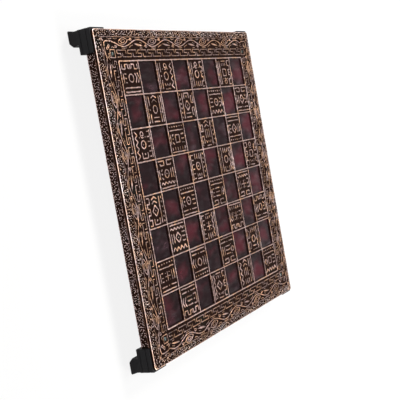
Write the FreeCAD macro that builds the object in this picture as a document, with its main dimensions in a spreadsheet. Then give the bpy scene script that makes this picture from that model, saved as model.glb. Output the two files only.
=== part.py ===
import FreeCAD, Part
import os
import re
import Sketcher

# Enamel chessboard, lying flat on its four feet with the playing face up.
# X runs along the player's near edge, Y runs away from the player, Z is up.
# The origin is under the middle of the board, level with the soles of the feet.
# Lengths are millimetres.

SIZES = (
    ("squares_per_side", 8, "squares along one side of the field"),
    ("square_pitch", 28.0, "one square, from ridge middle to ridge middle"),
    ("border_width", 27.0, "plate outside the field"),
    ("plate_thickness", 3.2, "relief plate, underside to ridge tops"),
    ("relief_height", 1.05, "ridge tops above the sunken ground"),
    ("ridge_width", 1.4, "ridges between the squares"),
    ("frame_ridge_width", 2.1, "ridge that frames the field"),
    ("outer_ridge_width", 1.0, "ridge inside the sloping band"),
    ("band_width", 6.4, "sloping band along the plate's edge, seen from above"),
    ("band_step", 0.4, "ridge tops above the inner side of the sloping band"),
    ("band_drop", 1.5, "fall of the sloping band towards the edge"),
    ("plate_corner_radius", 2.5, "rounding of the plate's corners"),
    ("key_inset", 6.5, "edge of the field to the middle row of the key band"),
    ("key_count", 15, "S shapes along one side of the key band, with the cut ones at its ends"),
    ("key_line", 1.3, "width of the key line"),
    ("key_row_pitch", 2.8, "key line rows, middle to middle"),
    ("key_height", 0.95, "key line above the sunken ground"),
    ("key_end_gap", 1.65, "end of the key band to the corner box"),
    ("corner_box_side", 7.8, "box in each corner of the key band"),
    ("corner_box_line", 1.2, "width of the line of the corner box"),
    ("corner_stud_radius", 1.3, "round stud in the corner box"),
    ("motif_height", 0.85, "relief of the cast squares above the ground"),
    ("motif_frame_side", 20.6, "line frame inside a cast square, outside"),
    ("motif_line", 1.2, "width of the lines inside a cast square"),
    ("motif_lozenge_reach", 7.4, "lozenge in a cast square, from its middle to its corners"),
    ("enamel_thickness", 0.6, "enamel fill"),
    ("enamel_drop", 0.6, "enamel surface below the sunken ground"),
    ("enamel_gap", 0.05, "enamel fill to the wall of its pocket"),
    ("enamel_edge", 0.2, "slope round the top of the enamel fill"),
    ("core_thickness", 8.4, "wooden core"),
    ("felt_thickness", 0.7, "lining, and the return lips level with it"),
    ("felt_gap", 0.2, "lining to the return lips"),
    ("felt_lap", 1.2, "lining under each foot, round its cut corner"),
    ("strip_inset", 1.0, "plate's edge to the face of the edging"),
    ("strip_wall", 0.7, "metal of the edging in its sunken channel"),
    ("strip_channel_depth", 0.8, "channel behind the face of the edging"),
    ("strip_channel_height", 2.5, "channel under the plate"),
    ("strip_lip", 2.5, "return lip, from the face of the edging"),
    ("strip_rounding", 0.4, "rounded edges of the edging"),
    ("mitre_gap", 0.04, "between two mitred ends"),
    ("foot_proud", 1.6, "face of the cap outside the plate's edge"),
    ("foot_arm", 20.2, "cap along each side of its corner"),
    ("foot_floor", 3.8, "floor of the cap, under the slab"),
    ("foot_fit", 0.15, "cap to the face of the edging"),
    ("foot_top_gap", 0.2, "cap to the underside of the plate"),
    ("foot_corner_radius", 2.0, "rounding of the cap's outer corner"),
    ("foot_inner_cut", 2.5, "cut across the cap's inner corner"),
    ("foot_groove", 1.2, "height of a groove round the cap"),
    ("foot_groove_depth", 0.4, "depth of a groove round the cap"),
    ("foot_groove_low", 2.3, "underside of the cap to the lower groove"),
    ("foot_groove_high", 8.5, "underside of the cap to the upper groove"),
    ("leg_height", 8.3, "sole to the underside of the cap"),
    ("leg_inset", 0.4, "face of the cap to the face of the leg"),
    ("leg_side", 11.6, "leg, square in plan"),
    ("leg_bead_height", 4.7, "flared part of the leg, from the sole"),
    ("leg_bead_waist", 2.6, "widest level of the bead, from the sole"),
    ("leg_flare", 1.1, "flare of the sole outside the leg's outer faces"),
    ("leg_bead", 0.9, "bead outside the leg's inner faces"),
    ("leg_sole_inset", 1.8, "sole inside the leg's inner faces"),
    ("leg_corner_cut", 0.9, "cut across the leg's corners"),
    ("leg_wall", 1.9, "walls round the hollow of the leg"),
    ("leg_hollow_depth", 9.4, "hollow of the leg, from the sole"),
    ("leg_web", 1.2, "cross webs in the hollow"),
    ("leg_web_setback", 1.4, "sole to the edge of the cross webs"),
    ("screw_inset", 3.6, "inner faces of the cap to the screw"),
    ("screw_length", 11.0, "screw, from the underside of its head"),
    ("screw_radius", 1.5, "shank of the screw"),
    ("screw_head_radius", 2.7, "flat head of the screw"),
    ("screw_head_height", 1.6, "flat head of the screw, under the cap"),
    ("screw_tip", 2.0, "point of the screw"),
    ("screw_clearance", 0.2, "shank to its hole in the cap"),
    ("pilot_clearance", 0.03, "shank to its hole in the core"),
    ("pilot_spare", 0.5, "hole beyond the point of the screw"),
)

FIELD_HALF = "(squares_per_side / 2 * square_pitch)"
PLATE_HALF = f"({FIELD_HALF} + border_width)"
SLAB_BOTTOM = "(leg_height + foot_floor)"
CORE_BOTTOM = f"({SLAB_BOTTOM} + felt_thickness)"
PLATE_BOTTOM = f"({CORE_BOTTOM} + core_thickness)"
GROUND = f"({PLATE_BOTTOM} + plate_thickness - relief_height)"
SUNKEN_HALF = f"({PLATE_HALF} - band_width)"
FIELD_OPENING = f"({FIELD_HALF} - ridge_width / 2)"
SQUARE_OPENING = "(square_pitch - ridge_width)"

KEY_MIDDLE = f"({FIELD_HALF} + key_inset)"
KEY_RUN = f"(2 * ({KEY_MIDDLE} - corner_box_side / 2 - key_end_gap))"
KEY_COLUMN = f"(({KEY_RUN} - key_line) / (6 * key_count - 4))"

STRIP_FACE = f"({PLATE_HALF} - strip_inset)"
STRIP_BACK = f"({STRIP_FACE} - strip_channel_depth - strip_wall)"
STRIP_LIP_END = f"({STRIP_FACE} - strip_lip)"

CAP_FACE = f"({PLATE_HALF} + foot_proud)"
CAP_END = f"({CAP_FACE} - foot_arm)"
CAP_HEIGHT = f"({PLATE_BOTTOM} - foot_top_gap - leg_height)"
LEG_FACE = f"({CAP_FACE} - leg_inset)"
LEG_BACK = f"({LEG_FACE} - leg_side)"
SCREW_PLACE = f"({CAP_END} + screw_inset)"

QUARTER_TURNS = {"right": 0, "back": 90, "left": 180, "front": 270}
CORNERS = {"back_right": 0, "back_left": 90, "front_left": 180, "front_right": 270}
FILES = "abcdefgh"

doc = FreeCAD.newDocument("chessboard")
sheet = doc.addObject("Spreadsheet::Sheet", "Sizes")


def fill_sheet():
    for row, (alias, value, note) in enumerate(SIZES, start=1):
        sheet.set(f"A{row}", alias)
        sheet.set(f"B{row}", str(value))
        sheet.set(f"C{row}", note)
        sheet.setAlias(f"B{row}", alias)
    doc.recompute()


ALIASES = re.compile(r"\b(" + "|".join(alias for alias, value, note in SIZES) + r")\b")


def formula(text):
    """The expression that reads each named size from the sheet."""
    return ALIASES.sub(r"Sizes.\1", text)


def value(text):
    return float(sheet.evalExpression(formula(text)))


def bind(target, name, text):
    target.setExpression(name, formula(text))


def origin_part(body, role):
    return [part for part in body.Origin.OriginFeatures if part.Role == role][0]


def new_body(label, turn=0):
    body = doc.addObject("PartDesign::Body", label)
    body.Label = label
    axis = FreeCAD.Vector(0, 0, 1)
    body.Placement = FreeCAD.Placement(FreeCAD.Vector(), FreeCAD.Rotation(axis, turn))
    return body


def new_sketch(body, name, height="0", plane="XY_Plane"):
    sketch = body.newObject("Sketcher::SketchObject", name)
    sketch.AttachmentSupport = (origin_part(body, plane), "")
    sketch.MapMode = "FlatFace"
    bind(sketch, "AttachmentOffset.Base.z", height)
    return sketch


def constrain(sketch, text, kind, *ends):
    """A dimension of the sketch, bound to the sheet."""
    index = sketch.addConstraint(Sketcher.Constraint(kind, *ends, value(text)))
    bind(sketch, f"Constraints[{index}]", text)


def pin(sketch, edge, end, across, up):
    """Places one end of an edge from the sketch's origin."""
    constrain(sketch, across, "DistanceX", -1, 1, edge, end)
    constrain(sketch, up, "DistanceY", -1, 1, edge, end)


def add_path(sketch, start, moves):
    """Closed outline of level and upright lines. Each move is an axis and a signed length,
    and the last two moves follow from the others."""
    across, up = value(start[0]), value(start[1])
    first = sketch.GeometryCount
    for axis, length in moves:
        corner = FreeCAD.Vector(across, up, 0)
        if axis == "x":
            across += value(length)
        else:
            up += value(length)
        sketch.addGeometry(Part.LineSegment(corner, FreeCAD.Vector(across, up, 0)), False)
    for number, (axis, length) in enumerate(moves):
        edge = first + number
        following = first + (number + 1) % len(moves)
        sketch.addConstraint(Sketcher.Constraint("Coincident", edge, 2, following, 1))
        level = "Horizontal" if axis == "x" else "Vertical"
        sketch.addConstraint(Sketcher.Constraint(level, edge))
        if number < len(moves) - 2:
            kind = "DistanceX" if axis == "x" else "DistanceY"
            constrain(sketch, length, kind, edge, 1, edge, 2)
    pin(sketch, first, 1, *start)


def add_box(sketch, low, high):
    """Rectangle from its low corner to its high corner."""
    width = f"({high[0]} - {low[0]})"
    depth = f"({high[1]} - {low[1]})"
    add_path(sketch, low, [("x", width), ("y", depth), ("x", f"-{width}"), ("y", f"-{depth}")])


def add_centred_square(sketch, half, middle=("0", "0")):
    low = (f"({middle[0]} - {half})", f"({middle[1]} - {half})")
    high = (f"({middle[0]} + {half})", f"({middle[1]} + {half})")
    add_box(sketch, low, high)


def add_circle(sketch, radius, middle):
    centre = FreeCAD.Vector(value(middle[0]), value(middle[1]), 0)
    circle = Part.Circle(centre, FreeCAD.Vector(0, 0, 1), value(radius))
    edge = sketch.addGeometry(circle, False)
    constrain(sketch, radius, "Radius", edge)
    pin(sketch, edge, 3, *middle)


def add_octagon(sketch, radius, middle):
    """Regular octagon with a corner straight to its right, held on a construction circle."""
    centre = FreeCAD.Vector(value(middle[0]), value(middle[1]), 0)
    axis = FreeCAD.Vector(0, 0, 1)
    arm = FreeCAD.Vector(value(radius), 0, 0)
    corners = [centre + FreeCAD.Rotation(axis, 45 * n).multVec(arm) for n in range(8)]
    first = sketch.GeometryCount
    for number in range(8):
        side = Part.LineSegment(corners[number], corners[(number + 1) % 8])
        sketch.addGeometry(side, False)
    ring = sketch.addGeometry(Part.Circle(centre, axis, value(radius)), True)
    for number in range(8):
        edge = first + number
        following = first + (number + 1) % 8
        sketch.addConstraint(Sketcher.Constraint("Coincident", edge, 2, following, 1))
        sketch.addConstraint(Sketcher.Constraint("PointOnObject", edge, 1, ring))
        if number:
            sketch.addConstraint(Sketcher.Constraint("Equal", first, edge))
    sketch.addConstraint(Sketcher.Constraint("Horizontal", first, 1, ring, 3))
    constrain(sketch, radius, "Radius", ring)
    pin(sketch, ring, 3, *middle)


def add_polygon(sketch, corners):
    """Closed outline through corners that are each placed from the sketch's origin."""
    points = [FreeCAD.Vector(value(across), value(up), 0) for across, up in corners]
    count = len(points)
    first = sketch.GeometryCount
    for number, point in enumerate(points):
        side = Part.LineSegment(point, points[(number + 1) % count])
        sketch.addGeometry(side, False)
    for number, corner in enumerate(corners):
        following = first + (number + 1) % count
        sketch.addConstraint(Sketcher.Constraint("Coincident", first + number, 2, following, 1))
        pin(sketch, first + number, 1, *corner)


def add_lozenge(sketch, reach, middle):
    """Square on its corner, with the reach from its middle to each corner."""
    across, up = middle
    add_polygon(sketch, [
        (f"({across} + {reach})", up),
        (across, f"({up} + {reach})"),
        (f"({across} - {reach})", up),
        (across, f"({up} - {reach})"),
    ])


def add_cut_square(sketch, low, high, cut):
    """Square on the diagonal from (low, low) to (high, high), with its corners cut off."""
    after_low, before_high = f"({low} + {cut})", f"({high} - {cut})"
    add_polygon(sketch, [
        (after_low, low), (before_high, low), (high, after_low), (high, before_high),
        (before_high, high), (after_low, high), (low, before_high), (low, after_low),
    ])


def add_rounded_square(sketch, low, high, radius):
    """Square on the diagonal from (low, low) to (high, high), with rounded corners."""
    near, far, curve = value(low), value(high), value(radius)
    first = sketch.GeometryCount
    inner_near, inner_far = near + curve, far - curve
    sides = (
        ((inner_near, near), (inner_far, near)),
        ((far, inner_near), (far, inner_far)),
        ((inner_far, far), (inner_near, far)),
        ((near, inner_far), (near, inner_near)),
    )
    middles = ((inner_far, inner_near), (inner_far, inner_far), (inner_near, inner_far),
               (inner_near, inner_near))
    half_cut = curve * 0.5 ** 0.5
    bulges = ((half_cut, -half_cut), (half_cut, half_cut), (-half_cut, half_cut),
              (-half_cut, -half_cut))
    for number, (start, end) in enumerate(sides):
        side = Part.LineSegment(FreeCAD.Vector(*start, 0), FreeCAD.Vector(*end, 0))
        sketch.addGeometry(side, False)
    for number in range(4):
        middle = FreeCAD.Vector(*middles[number], 0)
        through = middle + FreeCAD.Vector(*bulges[number], 0)
        start = FreeCAD.Vector(*sides[number][1], 0)
        end = FreeCAD.Vector(*sides[(number + 1) % 4][0], 0)
        sketch.addGeometry(Part.Arc(start, through, end), False)
    for number in range(4):
        side, arc = first + number, first + 4 + number
        following = first + (number + 1) % 4
        sketch.addConstraint(Sketcher.Constraint("Tangent", side, 2, arc, 1))
        sketch.addConstraint(Sketcher.Constraint("Tangent", arc, 2, following, 1))
        level = "Vertical" if number % 2 else "Horizontal"
        sketch.addConstraint(Sketcher.Constraint(level, side))
        if number:
            sketch.addConstraint(Sketcher.Constraint("Equal", first + 4, arc))
    constrain(sketch, radius, "Radius", first + 4)
    constrain(sketch, low, "DistanceY", -1, 1, first, 1)
    constrain(sketch, low, "DistanceX", -1, 1, first + 3, 1)
    constrain(sketch, high, "DistanceX", -1, 1, first + 1, 1)
    constrain(sketch, high, "DistanceY", -1, 1, first + 2, 1)


def pad(body, name, sketch, length):
    feature = body.newObject("PartDesign::Pad", name)
    feature.Profile = sketch
    bind(feature, "Length", length)
    doc.recompute()
    return feature


def pocket(body, name, sketch, depth, upwards=False):
    """Cuts down from the sketch, or up where the pocket opens underneath."""
    before = body.Shape.Volume
    feature = body.newObject("PartDesign::Pocket", name)
    feature.Profile = sketch
    feature.Reversed = upwards
    bind(feature, "Length", depth)
    doc.recompute()
    if not feature.Shape.Volume < before:
        raise RuntimeError(f"{name} of {body.Label} cuts nothing")
    return feature


def edges_where(shape, test):
    """Names of the edges whose middle point and bounding box pass the test."""
    names = []
    for number, edge in enumerate(shape.Edges, start=1):
        if test(edge.CenterOfMass, edge.BoundBox):
            names.append(f"Edge{number}")
    return names


def chamfer(body, name, base, edges, size):
    feature = body.newObject("PartDesign::Chamfer", name)
    feature.Base = (base, edges)
    bind(feature, "Size", size)
    doc.recompute()
    return feature


def fillet(body, name, base, edges, radius):
    feature = body.newObject("PartDesign::Fillet", name)
    feature.Base = (base, edges)
    bind(feature, "Radius", radius)
    doc.recompute()
    return feature


def line_pattern(body, name, axis, length, count):
    feature = body.newObject("PartDesign::LinearPattern", name)
    feature.Direction = (origin_part(body, axis), [""])
    bind(feature, "Length", length)
    bind(feature, "Occurrences", count)
    return feature


def turn_pattern(body, name, angle, count):
    feature = body.newObject("PartDesign::PolarPattern", name)
    feature.Axis = (origin_part(body, "Z_Axis"), [""])
    feature.Angle = angle
    feature.Occurrences = count
    return feature


def repeat(body, name, original, steps):
    """One feature repeated by all the patterns in turn."""
    feature = body.newObject("PartDesign::MultiTransform", name)
    feature.Originals = [original]
    feature.Transformations = steps
    body.Tip = feature
    doc.recompute()
    return feature


def near(a, b):
    return abs(a - b) < 1e-4


def make_relief_plate():
    body = new_body("relief_plate")
    add_casting(body)
    cut_enamel_pockets(body)
    add_border_ridges(body)
    add_field_grid(body)
    add_cast_squares(body)
    add_corner_boxes(body)
    add_key_band(body)
    return body


def add_casting(body):
    """Flat plate with the sloping band, its rounded corners and the sunken ground."""
    outline = new_sketch(body, "plate_outline", PLATE_BOTTOM)
    add_centred_square(outline, PLATE_HALF)
    slab = pad(body, "plate_slab", outline, "plate_thickness - band_step")
    top = slab.Shape.BoundBox.ZMax
    rim = edges_where(slab.Shape, lambda middle, box: near(box.ZMin, top))
    slope = body.newObject("PartDesign::Chamfer", "sloping_band")
    slope.Base = (slab, rim)
    slope.ChamferType = "Two distances"
    bind(slope, "Size", "band_drop")
    bind(slope, "Size2", "band_width")
    doc.recompute()
    flat = [face for face in slope.Shape.Faces if near(face.BoundBox.ZMin, top)]
    if not flat or not near(flat[0].BoundBox.XMax, value(SUNKEN_HALF)):
        raise RuntimeError("the band slopes the wrong way")

    trim = new_sketch(body, "corner_trim", f"{PLATE_BOTTOM} + plate_thickness")
    reach = value(PLATE_HALF)
    radius = value("plate_corner_radius")
    middle = FreeCAD.Vector(reach - radius, reach - radius, 0)
    bulge = middle + FreeCAD.Vector(1, 1, 0).normalize() * radius
    right = FreeCAD.Vector(reach, reach - radius, 0)
    upper = FreeCAD.Vector(reach - radius, reach, 0)
    corner = FreeCAD.Vector(reach, reach, 0)
    trim.addGeometry(Part.Arc(right, bulge, upper), False)
    trim.addGeometry(Part.LineSegment(upper, corner), False)
    trim.addGeometry(Part.LineSegment(corner, right), False)
    for edge in range(3):
        following = (edge + 1) % 3
        trim.addConstraint(Sketcher.Constraint("Coincident", edge, 2, following, 1))
    trim.addConstraint(Sketcher.Constraint("Horizontal", 1))
    trim.addConstraint(Sketcher.Constraint("Vertical", 2))
    trim.addConstraint(Sketcher.Constraint("Horizontal", 0, 3, 0, 1))
    trim.addConstraint(Sketcher.Constraint("Vertical", 0, 3, 0, 2))
    constrain(trim, "plate_corner_radius", "Radius", 0)
    pin(trim, 1, 2, PLATE_HALF, PLATE_HALF)
    cut = pocket(body, "rounded_corner", trim, "plate_thickness")
    repeat(body, "rounded_corners", cut, [turn_pattern(body, "corner_turns", 360, 4)])

    ground = new_sketch(body, "ground_outline", f"{PLATE_BOTTOM} + plate_thickness")
    add_centred_square(ground, SUNKEN_HALF)
    pocket(body, "sunken_ground", ground, "relief_height")


def add_border_ridges(body):
    outer = new_sketch(body, "outer_ridge_outline", GROUND)
    add_centred_square(outer, SUNKEN_HALF)
    add_centred_square(outer, f"({SUNKEN_HALF} - outer_ridge_width)")
    pad(body, "outer_ridge", outer, "relief_height")

    frame = new_sketch(body, "frame_ridge_outline", GROUND)
    add_centred_square(frame, FIELD_OPENING)
    add_centred_square(frame, f"({FIELD_OPENING} + frame_ridge_width)")
    pad(body, "frame_ridge", frame, "relief_height")


def add_field_grid(body):
    """Seven ridges each way, one drawn and the rest repeated."""
    line = new_sketch(body, "grid_ridge_outline", GROUND)
    place = f"(square_pitch - {FIELD_HALF})"
    add_box(line, (f"({place} - ridge_width / 2)", f"(-{FIELD_OPENING})"),
            (f"({place} + ridge_width / 2)", FIELD_OPENING))
    ridge = pad(body, "grid_ridge", line, "relief_height")
    spread = line_pattern(body, "grid_spread", "X_Axis",
                          "(squares_per_side - 2) * square_pitch", "squares_per_side - 1")
    turn = turn_pattern(body, "grid_turn", 90, 2)
    repeat(body, "grid", ridge, [spread, turn])


def half_turned(moves):
    """The same moves of an outline, turned half round."""
    return [(axis, f"(-{length})") for axis, length in moves]


def add_key_band(body):
    """Hooked S shapes that interlock in a row, repeated along each side. The shapes at the two
    ends of the row have one bar cut short at the corner box."""
    full_step = f"(6 * {KEY_COLUMN})"
    first = f"(key_line / 2 - {KEY_RUN} / 2)"
    tip = (f"({first} + 5 * {KEY_COLUMN} + key_line / 2)", f"({KEY_MIDDLE} - key_line / 2)")
    upper = [
        ("y", "(key_row_pitch + key_line)"),
        ("x", f"(-5 * {KEY_COLUMN} - key_line)"),
        ("y", "(-key_row_pitch - key_line)"),
        ("x", f"(2 * {KEY_COLUMN})"),
        ("y", "(key_line - key_row_pitch)"),
    ]
    long_bar = [
        ("x", f"(key_line - 5 * {KEY_COLUMN})"),
        ("y", "key_row_pitch"),
        ("x", "(-key_line)"),
    ]
    cut_bar = [("x", f"(-2 * {KEY_COLUMN})"), ("y", "(-key_line)")]
    back = half_turned(upper + long_bar)

    sketch = new_sketch(body, "key_outline", GROUND)
    add_path(sketch, (f"({tip[0]} + {full_step})", tip[1]), upper + long_bar + back)
    unit = pad(body, "key_unit", sketch, "key_height")
    row = line_pattern(body, "key_row", "X_Axis", f"{full_step} * (key_count - 3)",
                       "key_count - 2")
    turns = turn_pattern(body, "key_turns", 360, 4)
    repeat(body, "key_band", unit, [row, turns])

    ends = new_sketch(body, "key_end_outline", GROUND)
    outline = upper + cut_bar + [("x", f"(2 * {KEY_COLUMN} + key_line)")] + back[2:]
    add_path(ends, tip, outline)
    across = f"(-{tip[0]})"
    add_path(ends, (across, f"({KEY_MIDDLE} + key_line / 2)"), half_turned(outline))
    pair = pad(body, "key_end_pair", ends, "key_height")
    repeat(body, "key_ends", pair, [turn_pattern(body, "key_end_turns", 360, 4)])


def add_corner_boxes(body):
    sketch = new_sketch(body, "corner_box_outline", GROUND)
    middle = (KEY_MIDDLE, KEY_MIDDLE)
    add_centred_square(sketch, "(corner_box_side / 2)", middle)
    add_centred_square(sketch, "(corner_box_side / 2 - corner_box_line)", middle)
    add_octagon(sketch, "corner_stud_radius", middle)
    box = pad(body, "corner_box", sketch, "key_height")
    repeat(body, "corner_boxes", box, [turn_pattern(body, "box_turns", 360, 4)])


def square_middle(file, rank):
    """Middle of a square, counted from the near left corner."""
    return (f"({file + 0.5} * square_pitch - {FIELD_HALF})",
            f"({rank + 0.5} * square_pitch - {FIELD_HALF})")


def field_patterns(body, name):
    """Every second square along X and along Y."""
    length = "(squares_per_side - 2) * square_pitch"
    count = "squares_per_side / 2"
    return [line_pattern(body, f"{name}_along_x", "X_Axis", length, count),
            line_pattern(body, f"{name}_along_y", "Y_Axis", length, count)]


def add_cast_squares(body):
    """Raised frame and lozenge in each square that has no enamel."""
    sketch = new_sketch(body, "motif_outline", GROUND)
    for middle in (square_middle(1, 0), square_middle(0, 1)):
        add_centred_square(sketch, "(motif_frame_side / 2)", middle)
        add_centred_square(sketch, "(motif_frame_side / 2 - motif_line)", middle)
        add_lozenge(sketch, "motif_lozenge_reach", middle)
        add_lozenge(sketch, "(motif_lozenge_reach - motif_line * sqrt(2))", middle)
    motif = pad(body, "motif", sketch, "motif_height")
    repeat(body, "cast_squares", motif, field_patterns(body, "motif"))


def cut_enamel_pockets(body):
    sketch = new_sketch(body, "pocket_outline", GROUND)
    for middle in (square_middle(0, 0), square_middle(1, 1)):
        add_centred_square(sketch, f"({SQUARE_OPENING} / 2)", middle)
    cell = pocket(body, "enamel_pocket", sketch, "enamel_thickness + enamel_drop")
    repeat(body, "enamel_pockets", cell, field_patterns(body, "pocket"))


def make_enamel(file, rank):
    """Enamel fill of one dark square."""
    body = new_body(f"enamel_{FILES[file]}{rank + 1}")
    across, up = square_middle(file, rank)
    bind(body, "Placement.Base.x", across)
    bind(body, "Placement.Base.y", up)
    bind(body, "Placement.Base.z", f"{GROUND} - enamel_drop - enamel_thickness")
    outline = new_sketch(body, "fill_outline")
    add_centred_square(outline, f"({SQUARE_OPENING} / 2 - enamel_gap)")
    fill = pad(body, "fill", outline, "enamel_thickness")
    top = fill.Shape.BoundBox.ZMax
    edges = edges_where(fill.Shape, lambda middle, box: near(box.ZMin, top))
    chamfer(body, "fill_edge", fill, edges, "enamel_edge")
    return body


def make_core_board():
    body = new_body("core_board")
    outline = new_sketch(body, "core_outline", CORE_BOTTOM)
    add_centred_square(outline, STRIP_BACK)
    pad(body, "core", outline, "core_thickness")
    pilot = new_sketch(body, "pilot_outline", CORE_BOTTOM)
    add_circle(pilot, "(screw_radius + pilot_clearance)", (SCREW_PLACE, SCREW_PLACE))
    depth = f"leg_height + screw_length + pilot_spare - {CORE_BOTTOM}"
    hole = pocket(body, "pilot_hole", pilot, depth, upwards=True)
    repeat(body, "pilot_holes", hole, [turn_pattern(body, "pilot_turns", 360, 4)])
    return body


def make_felt_lining():
    """Lining between the return lips, with a square notch at each corner for the foot."""
    body = new_body("felt_lining")
    outline = new_sketch(body, "felt_outline", SLAB_BOTTOM)
    half = f"({STRIP_LIP_END} - felt_gap)"
    notch = f"({CAP_END} + felt_lap)"
    side = f"(2 * {notch})"
    step = f"({half} - {notch})"
    add_path(outline, (f"(-{notch})", f"(-{half})"), [
        ("x", side), ("y", step), ("x", step),
        ("y", side), ("x", f"(-{step})"), ("y", step),
        ("x", f"(-{side})"), ("y", f"(-{step})"), ("x", f"(-{step})"),
        ("y", f"(-{side})"), ("x", step), ("y", f"(-{step})"),
    ])
    pad(body, "felt", outline, "felt_thickness")
    return body


def make_edge_strip(side):
    """Edging along one side, drawn on the right and turned to its place."""
    body = new_body(f"edge_strip_{side}", QUARTER_TURNS[side])
    section = new_sketch(body, "strip_section", f"(-{STRIP_FACE})", "XZ_Plane")
    full = "(core_thickness + felt_thickness)"
    add_path(section, (STRIP_LIP_END, SLAB_BOTTOM), [
        ("x", "strip_lip"),
        ("y", f"({full} - strip_channel_height)"),
        ("x", "(-strip_channel_depth)"),
        ("y", "strip_channel_height"),
        ("x", "(-strip_wall)"),
        ("y", "(-core_thickness)"),
        ("x", f"({STRIP_LIP_END} - {STRIP_BACK})"),
        ("y", "(-felt_thickness)"),
    ])
    bar = pad(body, "strip_bar", section, f"2 * {STRIP_FACE}")
    face = value(STRIP_FACE)
    edges = edges_where(bar.Shape, lambda middle, box: near(box.XMin, face) and box.YLength > face)
    fillet(body, "strip_edges", bar, edges, "strip_rounding")

    mitre = new_sketch(body, "mitre_outline", SLAB_BOTTOM)
    reach = face
    shift = value("mitre_gap")
    inner = value(STRIP_LIP_END)
    points = [FreeCAD.Vector(inner, inner - shift, 0), FreeCAD.Vector(reach, reach - shift, 0),
              FreeCAD.Vector(reach, reach, 0), FreeCAD.Vector(inner, reach, 0)]
    for number in range(4):
        mitre.addGeometry(Part.LineSegment(points[number], points[(number + 1) % 4]), False)
    for number in range(4):
        following = (number + 1) % 4
        mitre.addConstraint(Sketcher.Constraint("Coincident", number, 2, following, 1))
    mitre.addConstraint(Sketcher.Constraint("Vertical", 1))
    mitre.addConstraint(Sketcher.Constraint("Horizontal", 2))
    mitre.addConstraint(Sketcher.Constraint("Vertical", 3))
    pin(mitre, 0, 1, STRIP_LIP_END, f"({STRIP_LIP_END} - mitre_gap)")
    pin(mitre, 2, 1, STRIP_FACE, STRIP_FACE)
    constrain(mitre, f"({STRIP_FACE} - mitre_gap)", "DistanceY", -1, 1, 1, 1)
    cut = pocket(body, "mitre", mitre, full, upwards=True)
    mirror = body.newObject("PartDesign::Mirrored", "mitres")
    mirror.Originals = [cut]
    mirror.MirrorPlane = (origin_part(body, "XZ_Plane"), [""])
    body.Tip = mirror
    doc.recompute()
    return body


def make_corner_foot(corner):
    """Moulded foot, drawn at the back right corner and turned to its place."""
    body = new_body(f"corner_foot_{corner}", CORNERS[corner])
    add_cap(body)
    add_leg(body)
    cut_leg_hollow(body)
    cut_screw_bore(body)
    return body


def add_cap(body):
    """Cap round the corner of the slab, with a floor under it and two shallow grooves."""
    outline = new_sketch(body, "cap_outline", "leg_height")
    add_box(outline, (CAP_END, CAP_END), (CAP_FACE, CAP_FACE))
    block = pad(body, "cap_block", outline, CAP_HEIGHT)
    face, end = value(CAP_FACE), value(CAP_END)
    outer = edges_where(block.Shape, lambda middle, box: near(box.XMin, face)
                        and near(box.YMin, face))
    rounded = fillet(body, "cap_corner", block, outer, "foot_corner_radius")
    inner = edges_where(rounded.Shape, lambda middle, box: near(box.XMax, end)
                        and near(box.YMax, end))
    chamfer(body, "cap_inner_corner", rounded, inner, "foot_inner_cut")

    seat = new_sketch(body, "seat_outline", f"{PLATE_BOTTOM} - foot_top_gap")
    limit = f"({STRIP_FACE} + foot_fit)"
    add_box(seat, (CAP_END, CAP_END), (limit, limit))
    pocket(body, "slab_seat", seat, f"{CAP_HEIGHT} - foot_floor")

    groove = new_sketch(body, "groove_outline", "leg_height + foot_groove_low + foot_groove")
    past = f"({CAP_END} - 2 * foot_groove_depth)"
    beyond = f"({CAP_FACE} + foot_groove_depth)"
    add_box(groove, (past, past), (beyond, beyond))
    add_rounded_square(groove, f"({CAP_END} - foot_groove_depth)",
                       f"({CAP_FACE} - foot_groove_depth)",
                       "(foot_corner_radius - foot_groove_depth)")
    cut = pocket(body, "cap_groove", groove, "foot_groove")
    rise = line_pattern(body, "groove_rise", "Z_Axis", "foot_groove_high - foot_groove_low", "2")
    repeat(body, "cap_grooves", cut, [rise])


def add_leg(body):
    """Leg under the cap: a straight neck and a flared bead that stands on the sole."""
    neck = new_sketch(body, "neck_outline", "leg_bead_height")
    add_cut_square(neck, LEG_BACK, LEG_FACE, "leg_corner_cut")
    pad(body, "neck", neck, "leg_height - leg_bead_height")
    levels = (
        ("bead_top", "leg_bead_height", LEG_BACK, LEG_FACE),
        ("bead_waist", "leg_bead_waist", f"({LEG_BACK} - leg_bead)",
         f"({LEG_FACE} + leg_flare / 2)"),
        ("bead_sole", "0", f"({LEG_BACK} + leg_sole_inset)", f"({LEG_FACE} + leg_flare)"),
    )
    sections = []
    for name, height, low, high in levels:
        section = new_sketch(body, name, height)
        add_cut_square(section, low, high, "leg_corner_cut")
        sections.append(section)
    bead = body.newObject("PartDesign::AdditiveLoft", "bead")
    bead.Profile = sections[0]
    bead.Sections = sections[1:]
    bead.Ruled = True
    doc.recompute()


def cut_leg_hollow(body):
    """Four cells up from the sole, with cross webs between them and set back from it."""
    hollow = new_sketch(body, "hollow_outline", "leg_web_setback")
    low = f"({LEG_BACK} + leg_sole_inset + leg_wall)"
    high = f"({LEG_FACE} - leg_wall)"
    middle = f"(({low} + {high}) / 2)"
    below, above = f"({middle} - leg_web / 2)", f"({middle} + leg_web / 2)"
    for left, right in ((low, below), (above, high)):
        for front, back in ((low, below), (above, high)):
            add_box(hollow, (left, front), (right, back))
    pocket(body, "leg_cells", hollow, "leg_hollow_depth - leg_web_setback", upwards=True)
    mouth = new_sketch(body, "mouth_outline")
    add_box(mouth, (low, low), (high, high))
    pocket(body, "leg_mouth", mouth, "leg_web_setback", upwards=True)


def cut_screw_bore(body):
    """Hole through the floor of the cap."""
    bore = new_sketch(body, "bore_outline", "leg_height")
    add_circle(bore, "(screw_radius + screw_clearance)", (SCREW_PLACE, SCREW_PLACE))
    pocket(body, "screw_bore", bore, "foot_floor", upwards=True)


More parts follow.
